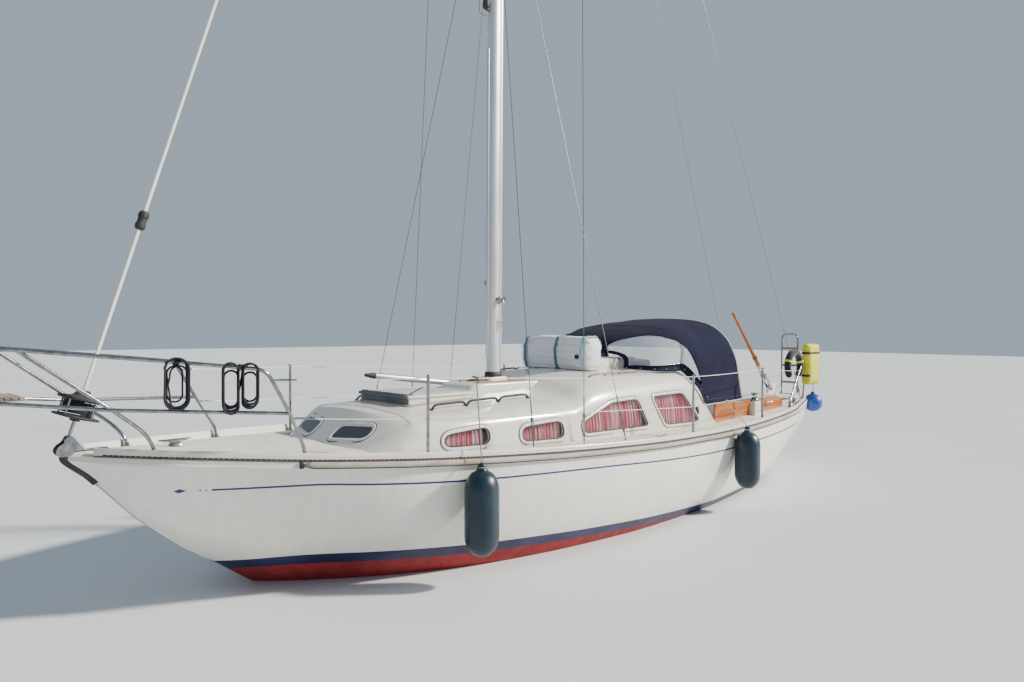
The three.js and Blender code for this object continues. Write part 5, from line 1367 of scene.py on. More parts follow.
lid = [slider_ring(x, drop) for x, drop in ((SLIDER["x0"], 0.006), (SLIDER["x0"] + 0.008, 0), (-0.93, 0),
                                            (SLIDER["x1"], 0))]
piece("sliding_hatch", loft(lid), MOULD, "companion_hatch", "gelcoat", "companion_hatch", sharp=45)
grip = [(-1.201, y, z) for y, z in ((-0.12, 1.560), (-0.11, 1.5745), (0.11, 1.5745), (0.12, 1.560))]
piece("sliding_hatch_grip", sweep(round_route(grip, 0.02, 4), 0.0055, 10), VARNISH, "companion_hatch",
      "varnished_wood")


def washboard(z0, z1):
    """One board of the aft wall, sloping with it."""
    return loft([[(AFT_X + AFT_LEAN * (z - LEVEL) + t, y, z)
                  for y, z in ((-0.297, z0), (0.297, z0), (0.297, z1), (-0.297, z1))] for t in (0.002, 0.026)])


boards = merged(*[washboard(z, z + 0.166) for z in (0.932, 1.101, 1.270)])
piece("drop_boards", boards, VARNISH, slot="varnished_wood", stands_for="washboards", bevel=0.003)


# Handrails along the roof
def handrails(name, x0, x1, y, height, material, slot, arches=3):
    feet = [lerp(x0, x1, k / arches) for k in range(arches + 1)]
    points = []
    for x, after in zip(feet, feet[1:]):
        points.append((x, y, roof_height(x, y) + 0.003))
        for t, rise in ((0.12, 0.93), (0.5, 1.0), (0.88, 0.93)):
            at = lerp(x, after, t)
            points.append((at, y, roof_height(at, y) + height * rise + 0.003))
    points.append((x1, y, roof_height(x1, y) + 0.003))
    seats = [rod((x, y, roof_height(x, y) - 0.002), (x, y, roof_height(x, y) + 0.010), 0.018) for x in feet]
    piece(name, both_sides(merged(sweep(smooth_route(points, 5), 0.011, 10), *seats)), material, slot=slot)


handrails("fore_handrails", 2.14, 1.02, 0.555, 0.036, RUBBER, "black_plastic")
handrails("doghouse_handrails", 0.24, -0.50, 0.640, 0.018, TEAK, "weathered_wood")

# Cockpit: seats, foot well, locker lids, coamings and their winches
COCKPIT_FORE, COCKPIT_AFT, SEAT, RIM, WALL = -1.62, -3.50, 0.70, 0.902, 0.03
WELL_FORE, WELL_AFT, WELL_HALF, WELL_FLOOR = -1.68, -3.25, 0.29, 0.30


def cockpit_half(x):
    return lerp(0.905, 0.740, (COCKPIT_FORE - x) / (COCKPIT_FORE - COCKPIT_AFT))


def cockpit_ring(inset, z, corner):
    fore, aft = COCKPIT_FORE - inset, COCKPIT_AFT + inset
    return flat_ring(rounded_box(fore, aft, cockpit_half(fore) - inset, corner, 6,
                                 cockpit_half(aft) - inset), z)


def well_ring(grow, z, corner):
    return flat_ring(rounded_box(WELL_FORE - WALL + grow, WELL_AFT + WALL - grow, WELL_HALF + grow, corner,
                                 6), z)


# Rings from the outside of the coaming over its rim and the seats, and down into the well
tub = [cockpit_ring(*row) for row in (
    (0.0004, SEAT - WALL, 0.05), (0.0004, RIM - 0.004, 0.05), (0.004, RIM, 0.05), (0.024, RIM, 0.06),
    (0.030, RIM - 0.006, 0.07), (0.034, SEAT + 0.03, 0.07), (0.045, SEAT + 0.007, 0.07), (0.065, SEAT, 0.07))]
tub += [well_ring(*row) for row in ((0.016, SEAT, 0.09), (0.004, SEAT - 0.005, 0.085),
                                    (0.0, SEAT - 0.016, 0.08), (0.0, SEAT - WALL, 0.08))]
cockpit = piece("cockpit_moulding", loft(tub + [tub[0]], caps=False), MOULD, slot="gelcoat",
                stands_for="cockpit_tub", sharp=45)
opening = block((-2.90, 0.36, 0.60), (-1.90, 0.69, 0.80))
cut(cockpit, [opening, port_to_starboard(opening)])
shade(cockpit, 45)
well_top = SEAT - WALL - 0.0006
well = [well_ring(*row) for row in ((-0.012, WELL_FLOOR, 0.07), (0.0, WELL_FLOOR + 0.014, 0.08),
                                    (0.0, well_top, 0.08), (WALL, well_top, 0.1),
                                    (WALL, WELL_FLOOR - WALL, 0.1))]
piece("foot_well_moulding", loft(well), MOULD, slot="gelcoat", stands_for="foot_well", sharp=45)
slats = [block((WELL_AFT + 0.06, y, WELL_FLOOR + 0.001), (WELL_FORE - 0.06, y + 0.05, WELL_FLOOR + 0.019))
         for y in (-0.24 + 0.0615 * k for k in range(8))]
piece("foot_well_grating", merged(*slats), TEAK, slot="weathered_wood", bevel=0.003)
LID_EDGE = 0.708
slats = [block((-2.925, y, SEAT + 0.006), (-1.875, min(y + 0.0525, LID_EDGE), SEAT + 0.0195))
         for y in (0.336 + k * 0.0566 for k in range(7))]
battens = [block((x, 0.34, SEAT + 0.0006), (x + 0.05, LID_EDGE, SEAT + 0.0062)) for x in (-2.90, -2.42, -1.95)]
pair("locker_lid_slats", merged(*slats, *battens), TEAK, "locker_lid", "weathered_wood", "locker_lid",
     bevel=0.002)

# Coaming boards with their winches and cleats
COAMING = [[-1.585, 1.062], [-2.00, 1.052], [-2.40, 1.040], [-3.42, 1.035], [-3.52, 1.010], [-3.60, 0.955]]
rings = []
for x in list(np.linspace(-1.585, -3.40, 20)) + [-3.44, -3.48, -3.52, -3.55, -3.58, -3.60]:
    top, y = value_at(COAMING, x), cockpit_half(x) + 0.034
    foot = deck_height(x, y) - 0.004
    rings.append([(x, y - 0.0115, foot), (x, y + 0.0115, foot), (x, y + 0.0225, top - 0.006),
                  (x, y + 0.018, top), (x, y + 0.005, top), (x, y + 0.0008, top - 0.006)])
pair("coaming_board", loft(rings), VARNISH, slot="varnished_wood", stands_for="coaming", sharp=40)
PAD_Y, PAD_TOP = cockpit_half(-2.62) + 0.078, 1.030
pad = block((-2.70, PAD_Y - 0.05, deck_height(-2.6, PAD_Y) - 0.01), (-2.54, PAD_Y + 0.05, PAD_TOP))
pair("winch_pad", pad, MOULD, slot="gelcoat", bevel=0.012)
drum_rows = [(0.054, 0.0), (0.054, 0.010), (0.046, 0.020), (0.037, 0.034), (0.034, 0.060), (0.036, 0.078),
             (0.046, 0.088), (0.046, 0.096), (0.030, 0.099), (0.012, 0.099), (0.012, 0.094), (0.001, 0.094)]
pair("sheet_winch", spin(drum_rows, (-2.62, PAD_Y, PAD_TOP + 0.0004), (0, 0, 1), 32), STEEL,
     slot="stainless", sharp=35)
sheet_cleat = horn_cleat((-3.05, cockpit_half(-3.05) + 0.066, 0.985), (1, 0, 0), (0, 0.94, 0.05), 0.085)
pair("sheet_cleat", sheet_cleat, ALUMINIUM, slot="aluminium")

# Padded fabric, swollen by a cloth simulation
def puff(target, voxel, cap, pinned=None, frames=12, pressure=3.0):
    """Remeshes a closed shape evenly and swells it; no point moves further than the cap."""
    even = target.modifiers.new("even", "REMESH")
    even.mode, even.voxel_size = "VOXEL", voxel
    settle(target)
    before = [v.co.copy() for v in target.data.vertices]
    swell = target.modifiers.new("swell", "CLOTH")
    swell.settings.use_pressure = True
    swell.settings.uniform_pressure_force = pressure
    swell.settings.quality = 5
    swell.settings.effector_weights.gravity = 0.0
    if pinned:
        group = target.vertex_groups.new(name="held")
        group.add([i for i, p in enumerate(before) if pinned(p)], 1.0, "REPLACE")
        swell.settings.vertex_group_mass = "held"
    stage = bpy.context.scene
    for number in range(1, frames + 1):
        stage.frame_set(number)
    graph = bpy.context.evaluated_depsgraph_get()
    swollen = [v.co.copy() for v in target.evaluated_get(graph).data.vertices]
    target.modifiers.clear()
    target.vertex_groups.clear()
    stage.frame_set(1)
    for vert, start, end in zip(target.data.vertices, before, swollen):
        step = end - start
        vert.co = start + step * min(1.0, cap / max(step.length, 1e-9))


def finished(target, material, stands_for, level=0, smooth=0):
    """Gives a loose mesh its material, softens it and dresses it."""
    target.data.materials.clear()
    target.data.materials.append(material)
    with edited(target.data) as work:
        for _ in range(smooth):
            bmesh.ops.smooth_vert(work, verts=work.verts, factor=0.5, use_axis_x=True, use_axis_y=True,
                                  use_axis_z=True)
    dress(target, stands_for=stands_for, sharp=180, level=level)


# Rolled inflatable dinghy, lashed on the doghouse roof
STRAPS_Y = (-0.415, 0.030, 0.385)
ROLL = {"x": -0.0875, "half": 0.158, "y": -0.040, "long": 0.476, "middle": 1.640, "top": 1.826, "foot": 1.462}
GARAGE_ROOF = 1.606


def under_roll(x, y):
    """What the roll lies on: the roof, and the hatch's garage aft of it."""
    low = roof_height(max(x, GARAGE["x0"]), y) + 0.003
    return max(low, GARAGE_ROOF) if x < -0.012 and abs(y) < 0.392 else low


def roll_point(turn, y, grow=0.0):
    """A point round the roll at a distance off the centreline; turn 0 is forward."""
    end = max(0.0, (abs(y - ROLL["y"]) / ROLL["long"] - 0.80) / 0.20)
    size = math.sqrt(max(0.0, 1 - min(1.0, end) ** 2.2)) * 0.42 + 0.58
    pinch = sum(math.exp(-((y - s) / 0.022) ** 2) for s in STRAPS_Y) * 0.010
    c, s = math.cos(turn), math.sin(turn)
    lobe = 0.005 * math.sin(7 * turn + 1.3) + 0.004 * math.sin(13 * turn + y * 4)
    half_x = ROLL["half"] * size + lobe - pinch + grow
    rise = (ROLL["top"] - ROLL["middle"]) * (0.30 + 0.70 * size) + lobe - pinch + grow
    fall = (ROLL["middle"] - ROLL["foot"]) * (0.60 + 0.40 * size)
    squareness = 0.58
    x = ROLL["x"] + half_x * math.copysign(abs(c) ** squareness, c)
    z = ROLL["middle"] + (rise if s > 0 else -fall) * abs(s) ** squareness
    return Vector((x, y, max(z, under_roll(x, y))))


roll_rows = np.linspace(ROLL["y"] - ROLL["long"], ROLL["y"] + ROLL["long"], 64)
roll = raw("rolled_dinghy_bundle", loft([[roll_point(turn, y) for turn in turns(100)] for y in roll_rows]))
puff(roll, 0.0085, 0.010,
     lambda p: any(abs(p.y - s) < 0.014 for s in STRAPS_Y) or p.z < under_roll(p.x, p.y) + 0.010)
for vert in roll.data.vertices:
    x, y, z = vert.co
    layer = math.sin((z - 1.48) * 74.0 + 0.5 * math.sin(y * 6))
    crease = -0.014 * max(0.0, layer) ** 5
    near = math.exp(-(min(abs(y - s) for s in STRAPS_Y) / 0.05) ** 2)
    pucker = 0.003 * near * math.sin(z * 150 + x * 60)
    out = Vector((x - ROLL["x"], 0, (z - ROLL["middle"]) * 0.7)).normalized()
    vert.co = Vector(vert.co) + out * (crease + pucker)
    vert.co.z = max(vert.co.z, under_roll(x, y))
finished(roll, RAFT, "rolled_dinghy", smooth=1)
STRAP_HALF, STRAP_OUTER, STRAP_INNER = 0.014, 0.0135, 0.0105
for y, material, word in zip(STRAPS_Y, (STRAP, STRAP, STRAP_PALE), ("starboard", "middle", "port")):
    rings = [[roll_point(turn, y + across, out) for turn in turns(100)] for across, out in
             ((-STRAP_HALF, STRAP_OUTER), (STRAP_HALF, STRAP_OUTER), (STRAP_HALF, STRAP_INNER),
              (-STRAP_HALF, STRAP_INNER), (-STRAP_HALF, STRAP_OUTER))]
    piece(f"dinghy_strap_{word}", loft(rings, caps=False), material, slot="canvas", sharp=50)
strap_tail = [(-0.200, 0.410, 1.560), (-0.215, 0.450, 1.520)]
strap_tail += [(x, y, roof_height(x, y) + lift) for x, y, lift in
               ((-0.240, 0.500, 0.030), (-0.290, 0.560, 0.008), (-0.330, 0.600, 0.006))]
piece("dinghy_strap_end", sweep(smooth_route(strap_tail, 6), 0.013, 10, flat=0.14), STRAP_PALE, slot="canvas",
      sharp=60)
VALVE_AT = roll_point(0.05, 0.335) + Vector((0, 0, -0.06))
valve = spin([(0.024, -0.01), (0.026, 0.006), (0.021, 0.014), (0.012, 0.015)], VALVE_AT + Vector((0.002, 0, 0)),
             (1, 0.15, 0), 20)
piece("dinghy_valve", merged(valve, ball(VALVE_AT + Vector((0.016, 0, 0)), 0.016)), RUBBER,
      slot="black_plastic", bevel=0.001)

# Sprayhood: one curved sheet sewn round clear panels, on two hoops
# Rows: share along it, x at the crown, x at the foot, foot y, foot z, widest y, crown z
CANOPY = [
    [1.00, -1.893, -2.290, 0.918, 1.078, 0.948, 2.035], [0.74, -1.480, -1.432, 0.950, 1.075, 0.928, 2.012],
    [0.62, -1.270, -1.290, 0.921, 1.255, 0.898, 1.985], [0.50, -1.060, -1.130, 0.800, 1.446, 0.845, 1.940],
    [0.25, -0.760, -0.800, 0.760, 1.452, 0.775, 1.850], [0.10, -0.605, -0.620, 0.610, 1.470, 0.615, 1.745],
    [0.00, -0.556, -0.556, 0.455, 1.482, 0.460, 1.640],
]


CANOPY_ARCH = [[1.0, 0.0, 1.0], [0.90, 0.40, 0.985], [0.78, 0.72, 0.92], [0.62, 0.94, 0.72], [0.40, 1.0, 0.45],
               [0.0, 1.0, 0.0]]


def swell_of(u, start):
    """How far the cloth sags halfway between two hoops, from 0 to 1."""
    return math.sin(math.pi * min(1, max(0, (u - start) / 0.5))) ** 2


def canopy_bare(u, v):
    """Point on the canopy; u runs from front to back, v from the port foot over the crown."""
    crown_x, foot_x, foot_y, foot_z, wide, crown = table(CANOPY, u)
    side, share = (1, v * 2) if v <= 0.5 else (-1, (1 - v) * 2)
    y_share, z_share = table(CANOPY_ARCH, share)
    low = 1 - min(1.0, z_share / 0.45)
    y = wide * y_share + (foot_y - wide) * low
    z = lerp(foot_z, crown, z_share)
    x = lerp(foot_x, crown_x, min(1.0, z_share ** 0.9))
    arch = math.sin(math.pi * v) ** 0.5
    aft_sag, fore_sag = 0.013 * swell_of(u, 0.5) * arch, 0.010 * swell_of(u, 0.0) * arch
    wrinkle = 0.0022 * math.sin(v * 62 + u * 9) * math.sin(u * 31 + 1) * (1 - low)
    return Vector((x, side * y * (1 - aft_sag), z - aft_sag * 0.7 - fore_sag + wrinkle))


def canopy(u, v, out=0.0):
    """A point on the canopy, lifted off it."""
    p = canopy_bare(u, v)
    if not out:
        return p
    du = canopy_bare(min(u + 0.01, 1), v) - canopy_bare(max(u - 0.01, 0), v)
    dv = canopy_bare(u, min(v + 0.01, 1)) - canopy_bare(u, max(v - 0.01, 0))
    normal = dv.cross(du).normalized()
    return p + normal * (out if normal.dot(p - Vector((-1.4, 0, 1.2))) >= 0 else -out)


PANEL_U, PANEL_LOW = (0.030, 0.665), 0.075
PANEL_SHARE = [0.0, 0.04, 0.20, 0.45, 0.70, 0.88, 1.0]
PANEL_HIGH = [0.445, 0.462, 0.445, 0.395, 0.300, 0.190, 0.105]
EDGE_STEPS, PANEL_STEPS, CROWN_STEPS = 6, 14, 15


def panel_top(u):
    """Upper edge of the clear side panel, as v."""
    share = min(1.0, max(0.0, (u - PANEL_U[0]) / (PANEL_U[1] - PANEL_U[0])))
    return float(np.interp(share, PANEL_SHARE, PANEL_HIGH))


def canopy_shapes():
    us = sorted(set([round(k / 72, 5) for k in range(73)] + list(PANEL_U)))
    points = []
    for u in us:
        high = panel_top(u)
        vs = [PANEL_LOW * k / EDGE_STEPS for k in range(EDGE_STEPS)]
        vs += [lerp(PANEL_LOW, high, k / PANEL_STEPS) for k in range(PANEL_STEPS)]
        vs += [lerp(high, 0.5, k / (CROWN_STEPS - 1)) for k in range(CROWN_STEPS)]
        points += [canopy(u, v) for v in vs + [1 - v for v in vs[:-1][::-1]]]
    count = len(points) // len(us)
    panel_end = EDGE_STEPS + PANEL_STEPS
    cloth, clear = [], []
    for i in range(len(us) - 1):
        inside = PANEL_U[0] - 1e-6 <= us[i] and us[i + 1] <= PANEL_U[1] + 1e-6
        for j in range(count - 1):
            panel = inside and (EDGE_STEPS <= min(j, count - 2 - j) < panel_end)
            a = i * count + j
            (clear if panel else cloth).append([a, a + 1, a + 1 + count, a + count])
    return points, cloth, clear


def used(points, faces):
    """Only the points that the faces use."""
    order = sorted({i for face in faces for i in face})
    place_of = {old: new for new, old in enumerate(order)}
    return [points[i] for i in order], [[place_of[i] for i in face] for face in faces]


points, cloth_faces, clear_faces = canopy_shapes()
clear_panels = piece("sprayhood_windows", used(points, clear_faces), VINYL, slot="window_glass", sharp=80)
hood = piece("sprayhood_canopy", used(points, cloth_faces), CANVAS, slot="canvas", stands_for="sprayhood",
             sharp=80)
walled(hood, 0.0016, 0.0)
walled(clear_panels, 0.0010, 0.0)


def canopy_line(v_at, u0, u1, out, steps=60):
    """A line along the canopy; v_at(u) says how far up it lies."""
    return [canopy(u, v_at(u), out) for u in (lerp(u0, u1, k / steps) for k in range(steps + 1))]


def canopy_ring(u, out, steps=72, start=0.0, end=1.0):
    return [canopy(u, lerp(start, end, k / steps), out) for k in range(steps + 1)]


SEAM_OUT = 0.0012
# Seams along the canopy: (height as v, from u, to u, radius)
SEAM_LINES = [(lambda u: panel_top(u) + 0.012, 0.03, 0.70, 0.0014), (lambda u: 0.022, 0.0, 1.0, 0.0014),
              (lambda u: lerp(0.30, 0.06, (u - 0.6) / 0.4), 0.60, 0.99, 0.0012)]
seams = [sweep(canopy_ring(u, SEAM_OUT), 0.0016, 6) for u in (0.5, 0.515, 0.95)]
for v_at, u0, u1, radius in SEAM_LINES:
    seams.append(sweep(canopy_line(v_at, u0, u1, SEAM_OUT), radius, 6))
    seams.append(sweep(canopy_line(lambda u: 1 - v_at(u), u0, u1, SEAM_OUT), radius, 6))
hood_seams = piece("sprayhood_seams", merged(*seams), SEAM_THREAD, slot="canvas", sharp=80)
hood_piping = piece("sprayhood_piping", sweep(canopy_ring(0.992, 0.003), 0.0055, 8), PIPING, slot="canvas",
                    sharp=80)
loops = []
for flip in (False, True):
    edge = [(lerp(*PANEL_U, k / 60), PANEL_LOW) for k in range(61)]
    edge += [(u, panel_top(u)) for u in (lerp(*PANEL_U[::-1], k / 60) for k in range(61))]
    loop = [canopy(u, 1 - v if flip else v, 0.0014) for u, v in edge]
    loops.append(sweep(loop + [loop[0]], 0.011, 8, caps=False, flat=0.16))
hood_binding = piece("sprayhood_window_binding", merged(*loops), CANVAS, slot="canvas", sharp=80)
snap_route = canopy_line(lambda u: 0.035, 0.74, 0.02, 0.004)
strung("sprayhood_snaps", [snap_route, starboard(snap_route)], ball((0, 0, 0), 0.0085, 10), 0.15, STEEL)


def hood_hoop(u, pivot):
    ring = canopy_ring(u, -0.0165, 40, 0.02, 0.98)
    leg = [Vector(pivot), ring[0].lerp(Vector(pivot), 0.35)]
    return sweep(smooth_route(leg + ring[::2] + starboard(leg[::-1]), 3), 0.0115, 12)


side_parts = merged(rod((-1.10, 0.60, 1.80), (-1.80, 0.60, 1.93), 0.008),
                    spin([(0.018, -0.012), (0.018, 0.012)], (-1.64, 0.905, 1.10), (0, 1, 0), 14),
                    block((-1.69, 0.893, 1.055), (-1.59, 0.917, 1.095)))
hoops = merged(hood_hoop(0.5, (-1.62, 0.905, 1.10)), hood_hoop(0.985, (-1.66, 0.905, 1.10)),
               both_sides(side_parts))
piece("sprayhood_hoops", hoops, STEEL, slot="stainless", sharp=45)

# Mooring lines in hanks, hung over the pulpit's rail beside the tube and tied round it
RAIL_LEAN, TIE_TURNS, TIE_R = 0.32, 3, 0.0185
RAIL_ALONG = Vector((math.cos(RAIL_LEAN), -math.sin(RAIL_LEAN), 0))
RAIL_SIDE = Vector((math.sin(RAIL_LEAN), math.cos(RAIL_LEAN), 0))


def hank_turns(x, y, loops):
    """One rope in turns: each is its middle along the rail, radius, top, foot, place across and way round."""
    points = []
    for index, (middle, radius, top, foot, across, way) in enumerate(loops):
        high, low = top - radius, foot + radius
        bend = [(radius * math.cos(a), radius * math.sin(a)) for a in (math.pi * k / 14 for k in range(15))]
        points += [(middle + way * run, high + rise, across) for run, rise in bend]
        points += [(middle - way * radius, lerp(high, low, k / 8), across) for k in range(1, 8)]
        points += [(middle - way * run, low - rise, across) for run, rise in bend]
        last = index + 1 == len(loops)
        after = loops[index] if last else loops[index + 1]
        start = after[0] + after[5] * after[1]
        for t in (k / 8 for k in range(1, 5 if last else 8)):
            ease = t * t * (3 - 2 * t)
            points.append((lerp(middle + way * radius, start, ease), lerp(low, after[2] - after[1], t),
                           lerp(across, after[4], ease)))
    return [Vector((x, y, 0)) + RAIL_ALONG * a + RAIL_SIDE * c + Vector((0, 0, z)) for a, z, c in points]


# Rows: which one, place of its middle, rail's height, rope's width, turns
HANKS = [
    ("fore", 4.170, 0.611, 1.685, 0.012, [
        (0.000, 0.0700, 1.7110, 1.3900, 0.0330, 1), (0.004, 0.0620, 1.7110, 1.4100, 0.0205, 1),
        (-0.012, 0.0500, 1.6620, 1.4000, 0.0065, 1), (0.012, 0.0440, 1.6600, 1.4400, -0.0065, 1),
        (-0.003, 0.0660, 1.7080, 1.4050, -0.0205, 1), (0.004, 0.0600, 1.7060, 1.3920, -0.0330, 1)]),
    ("aft", 3.825, 0.743, 1.6464, 0.014, [
        (0.059, 0.0450, 1.6740, 1.3560, 0.0350, -1), (0.059, 0.0450, 1.6740, 1.3750, 0.0205, -1),
        (0.057, 0.0430, 1.6270, 1.4000, 0.0000, -1), (0.059, 0.0450, 1.6740, 1.3650, -0.0205, -1),
        (0.059, 0.0450, 1.6740, 1.3850, -0.0350, -1), (-0.059, 0.0450, 1.6700, 1.3800, -0.0350, 1),
        (-0.059, 0.0450, 1.6700, 1.4050, -0.0205, 1), (-0.057, 0.0430, 1.6150, 1.4300, 0.0000, 1),
        (-0.059, 0.0450, 1.6700, 1.3950, 0.0205, 1), (-0.059, 0.0450, 1.6700, 1.4150, 0.0350, 1)]),
]
for word, x, y, rail, width, loops in HANKS:
    route = hank_turns(x, y, loops)
    along = (RAIL_ALONG + Vector((0, 0, 0.10))).normalized()
    up = RAIL_SIDE.cross(along)
    up = up if up.z > 0 else -up
    tie = [Vector((x, y, rail)) + along * (0.0125 * (a / (2 * math.pi) - TIE_TURNS / 2))
           + RAIL_SIDE * (TIE_R * math.cos(a)) + up * (TIE_R * math.sin(a))
           for a in (2 * math.pi * k / 16 for k in range(TIE_TURNS * 16 + 1))]
    knot = piece(f"mooring_tie_{word}", sweep(tie, 0.0055, 10), DARK_ROPE, slot="rope", sharp=80)
    rope = piece(f"mooring_line_{word}", sweep(route, width / 2, 12), DARK_ROPE, slot="rope",
                 stands_for=f"mooring_hank_{word}", sharp=80)

# Fenders on their lanyards
FENDER_TOP = [(0.1295, -0.16), (0.124, -0.115), (0.108, -0.070), (0.080, -0.036), (0.048, -0.018),
              (0.038, -0.006), (0.034, 0.004), (0.032, 0.020), (0.026, 0.034), (0.014, 0.040), (0.001, 0.041)]
FENDER_FOOT = [(0.001, 0.0), (0.030, 0.002), (0.060, 0.014), (0.090, 0.042), (0.112, 0.075), (0.126, 0.118),
               (0.1295, 0.16)]
# Rows: which one, place, top, length, height of the wire that it hangs from, how far aft it is made fast, rope
FENDERS = [("fore", 2.24, 0.875, 0.65, UPPER_HEIGHT, 0.12, GREY_ROPE),
           ("aft", -1.30, 0.850, 0.61, 0.30, 0.0, WHITE_ROPE)]
for word, x, top, long, high, aft, lay in FENDERS:
    y = hull_side(x, top - 0.13) + 0.131
    rows = FENDER_FOOT + [(radius, long + h) for radius, h in FENDER_TOP]
    piece(f"fender_{word}_body", spin(rows, (x, y, top - long), (0, 0, 1), 40), FENDER, slot="fender_vinyl",
          stands_for=f"fender_{word}", sharp=70)
    after = next(k for k, (px, _) in enumerate(POSTS) if px <= x)
    (ax, ay), (bx, by_) = POSTS[after - 1], POSTS[after]
    t = (x - aft - ax) / (bx - ax)
    wire = Vector((x - aft, lerp(ay, by_, t), lerp(sheer(ax), sheer(bx), t) + high))
    eye = Vector((x, y, top + 0.028))
    lanyard = [eye + Vector((0, -0.012, -0.006)), eye + Vector((0.004, 0.0, 0.012)), eye.lerp(wire, 0.5),
               wire + Vector((0, 0, -0.02))]
    hitch = [wire + Vector((0.011 * (k / 12 - 1.5), 0.008 * math.cos(2 * math.pi * k / 12),
                            0.008 * math.sin(2 * math.pi * k / 12) - 0.001)) for k in range(3 * 12 + 1)]
    neck = [eye + Vector((0.034 * math.cos(a), 0.034 * math.sin(a), -0.020))
            for a in np.linspace(0, 2 * math.pi, 25)]
    piece(f"fender_{word}_lanyard", merged(sweep(smooth_route(lanyard, 5), 0.005, 10), sweep(hitch, 0.0045, 8),
                                           sweep(neck, 0.006, 8)), lay, slot="rope")

# Rudder and tiller
AXIS_AFT = 0.034
HULL_GUDGEONS, KEEL_GUDGEONS = (0.640, 0.230), (-0.180, -1.290)
RUDDER = [[1.09, 0.235], [0.60, 0.205], [0.15, 0.300], [-0.20, 0.480], [-0.70, 0.530], [-1.20, 0.500],
          [-1.36, 0.420]]
AXIS_DIR = Vector((-RAKE, 0, 1)).normalized()


def axis_point(z):
    return Vector((transom_x(z) - AXIS_AFT, 0, z))


def rudder_shape():
    rings = []
    for z in [-1.36, -1.352, -1.33] + list(np.linspace(-1.29, 1.05, 44)) + [1.075, 1.086, 1.09]:
        chord = float(table(RUDDER, z)[0])
        lead = axis_point(z).x + 0.02
        end = {-1.36: 0.75, -1.352: 0.92, 1.09: 0.78, 1.086: 0.92}.get(z, 1.0)
        rings.append(foil_ring(z, lead, lead - chord, 0.024 * end, 0.007 * end))
    return loft(rings)


blade = piece("rudder_blade", rudder_shape(), [MOULD, RED_PAINT, NAVY_PAINT], "rudder", "gelcoat", "rudder",
              sharp=35)
GUDGEONS = [axis_point(z) for z in HULL_GUDGEONS + KEEL_GUDGEONS]
ANTIFOULING_TOP, STRIPE_TOP = 0.035, 0.12
cut(blade, [rod(at - AXIS_DIR * 0.016, at + AXIS_DIR * 0.016, 0.032, 20) for at in GUDGEONS])
with edited(blade.data) as level:
    for mark in (ANTIFOULING_TOP, STRIPE_TOP):
        bmesh.ops.bisect_plane(level, geom=level.verts[:] + level.edges[:] + level.faces[:],
                               plane_co=(0, 0, mark), plane_no=(0, 0, 1))
for polygon in blade.data.polygons:
    z = polygon.center.z
    polygon.material_index = 1 if z < ANTIFOULING_TOP else 2 if z < STRIPE_TOP else 0
shade(blade, 35)
pivot = Vector((axis_point(1.0).x - 0.06, 0, 1.01))


def across_pivot(y0, y1, radius, sides=16):
    return rod(pivot + Vector((0, y0, 0)), pivot + Vector((0, y1, 0)), radius, sides)


pintles = [rod(at - AXIS_DIR * 0.028, at + AXIS_DIR * 0.028, 0.0079, 16) for at in GUDGEONS]
for z in HULL_GUDGEONS:
    a = axis_point(z) - AXIS_DIR * 0.050
    strap = [[a + Vector((-dx, 0.0245 + t, 0)) + AXIS_DIR * h for dx, h in
              ((0.03, -0.012), (0.15, -0.012), (0.15, 0.012), (0.03, 0.012))] for t in (-0.004, 0.002)]
    pintles.append(both_sides(loft(strap)))
pintles += [across_pivot(-0.0395, 0.0395, 0.0074), both_sides(across_pivot(0.0375, 0.044, 0.0125, 6))]
piece("rudder_pintles", merged(*pintles), STEEL, "rudder", "stainless", bevel=0.0006)


def gudgeon(z):
    """A bored eye round the axis and the tang that holds it."""
    c, half, bore, outer = axis_point(z), 0.0068, 0.0087, 0.0195
    rows = [(bore, -half), (outer, -half), (outer, half), (bore, half), (bore, -half)]
    points, faces = spin(rows, c, AXIS_DIR, 24)
    forward, aside = Vector((1, 0, RAKE)).normalized(), Vector((0, 0.0139, 0))
    tang = [[p + forward * run + aside * way for run, way in ((0.0185, 1), (0.06, 1), (0.06, -1), (0.0185, -1))]
            for p in (c - AXIS_DIR * half, c + AXIS_DIR * half)]
    return merged((points, faces[:-2]), loft(tang))


piece("hull_gudgeons", merged(*[gudgeon(z) for z in HULL_GUDGEONS]), STEEL, slot="stainless", bevel=0.0006)
piece("keel_gudgeons", merged(*[gudgeon(z) for z in KEEL_GUDGEONS]), BRONZE, slot="bronze", bevel=0.0006)
TILLER_TURN = math.radians(45)


def tiller_at(run, side, rise):
    return Vector((pivot.x + run * math.cos(TILLER_TURN) - rise * math.sin(TILLER_TURN), side,
                   pivot.z + run * math.sin(TILLER_TURN) + rise * math.cos(TILLER_TURN)))


def tiller_bar(rows, offset, round_off):
    """A bar along the tiller; rows are (run, half-width, half-depth), and round_off 1 makes it an ellipse."""
    section = [[math.copysign(abs(share) ** round_off, share) for share in (math.cos(a), math.sin(a))]
               for a in turns(20)]
    return loft([[tiller_at(run, offset + half * across, deep * up) for across, up in section]
                 for run, half, deep in rows])


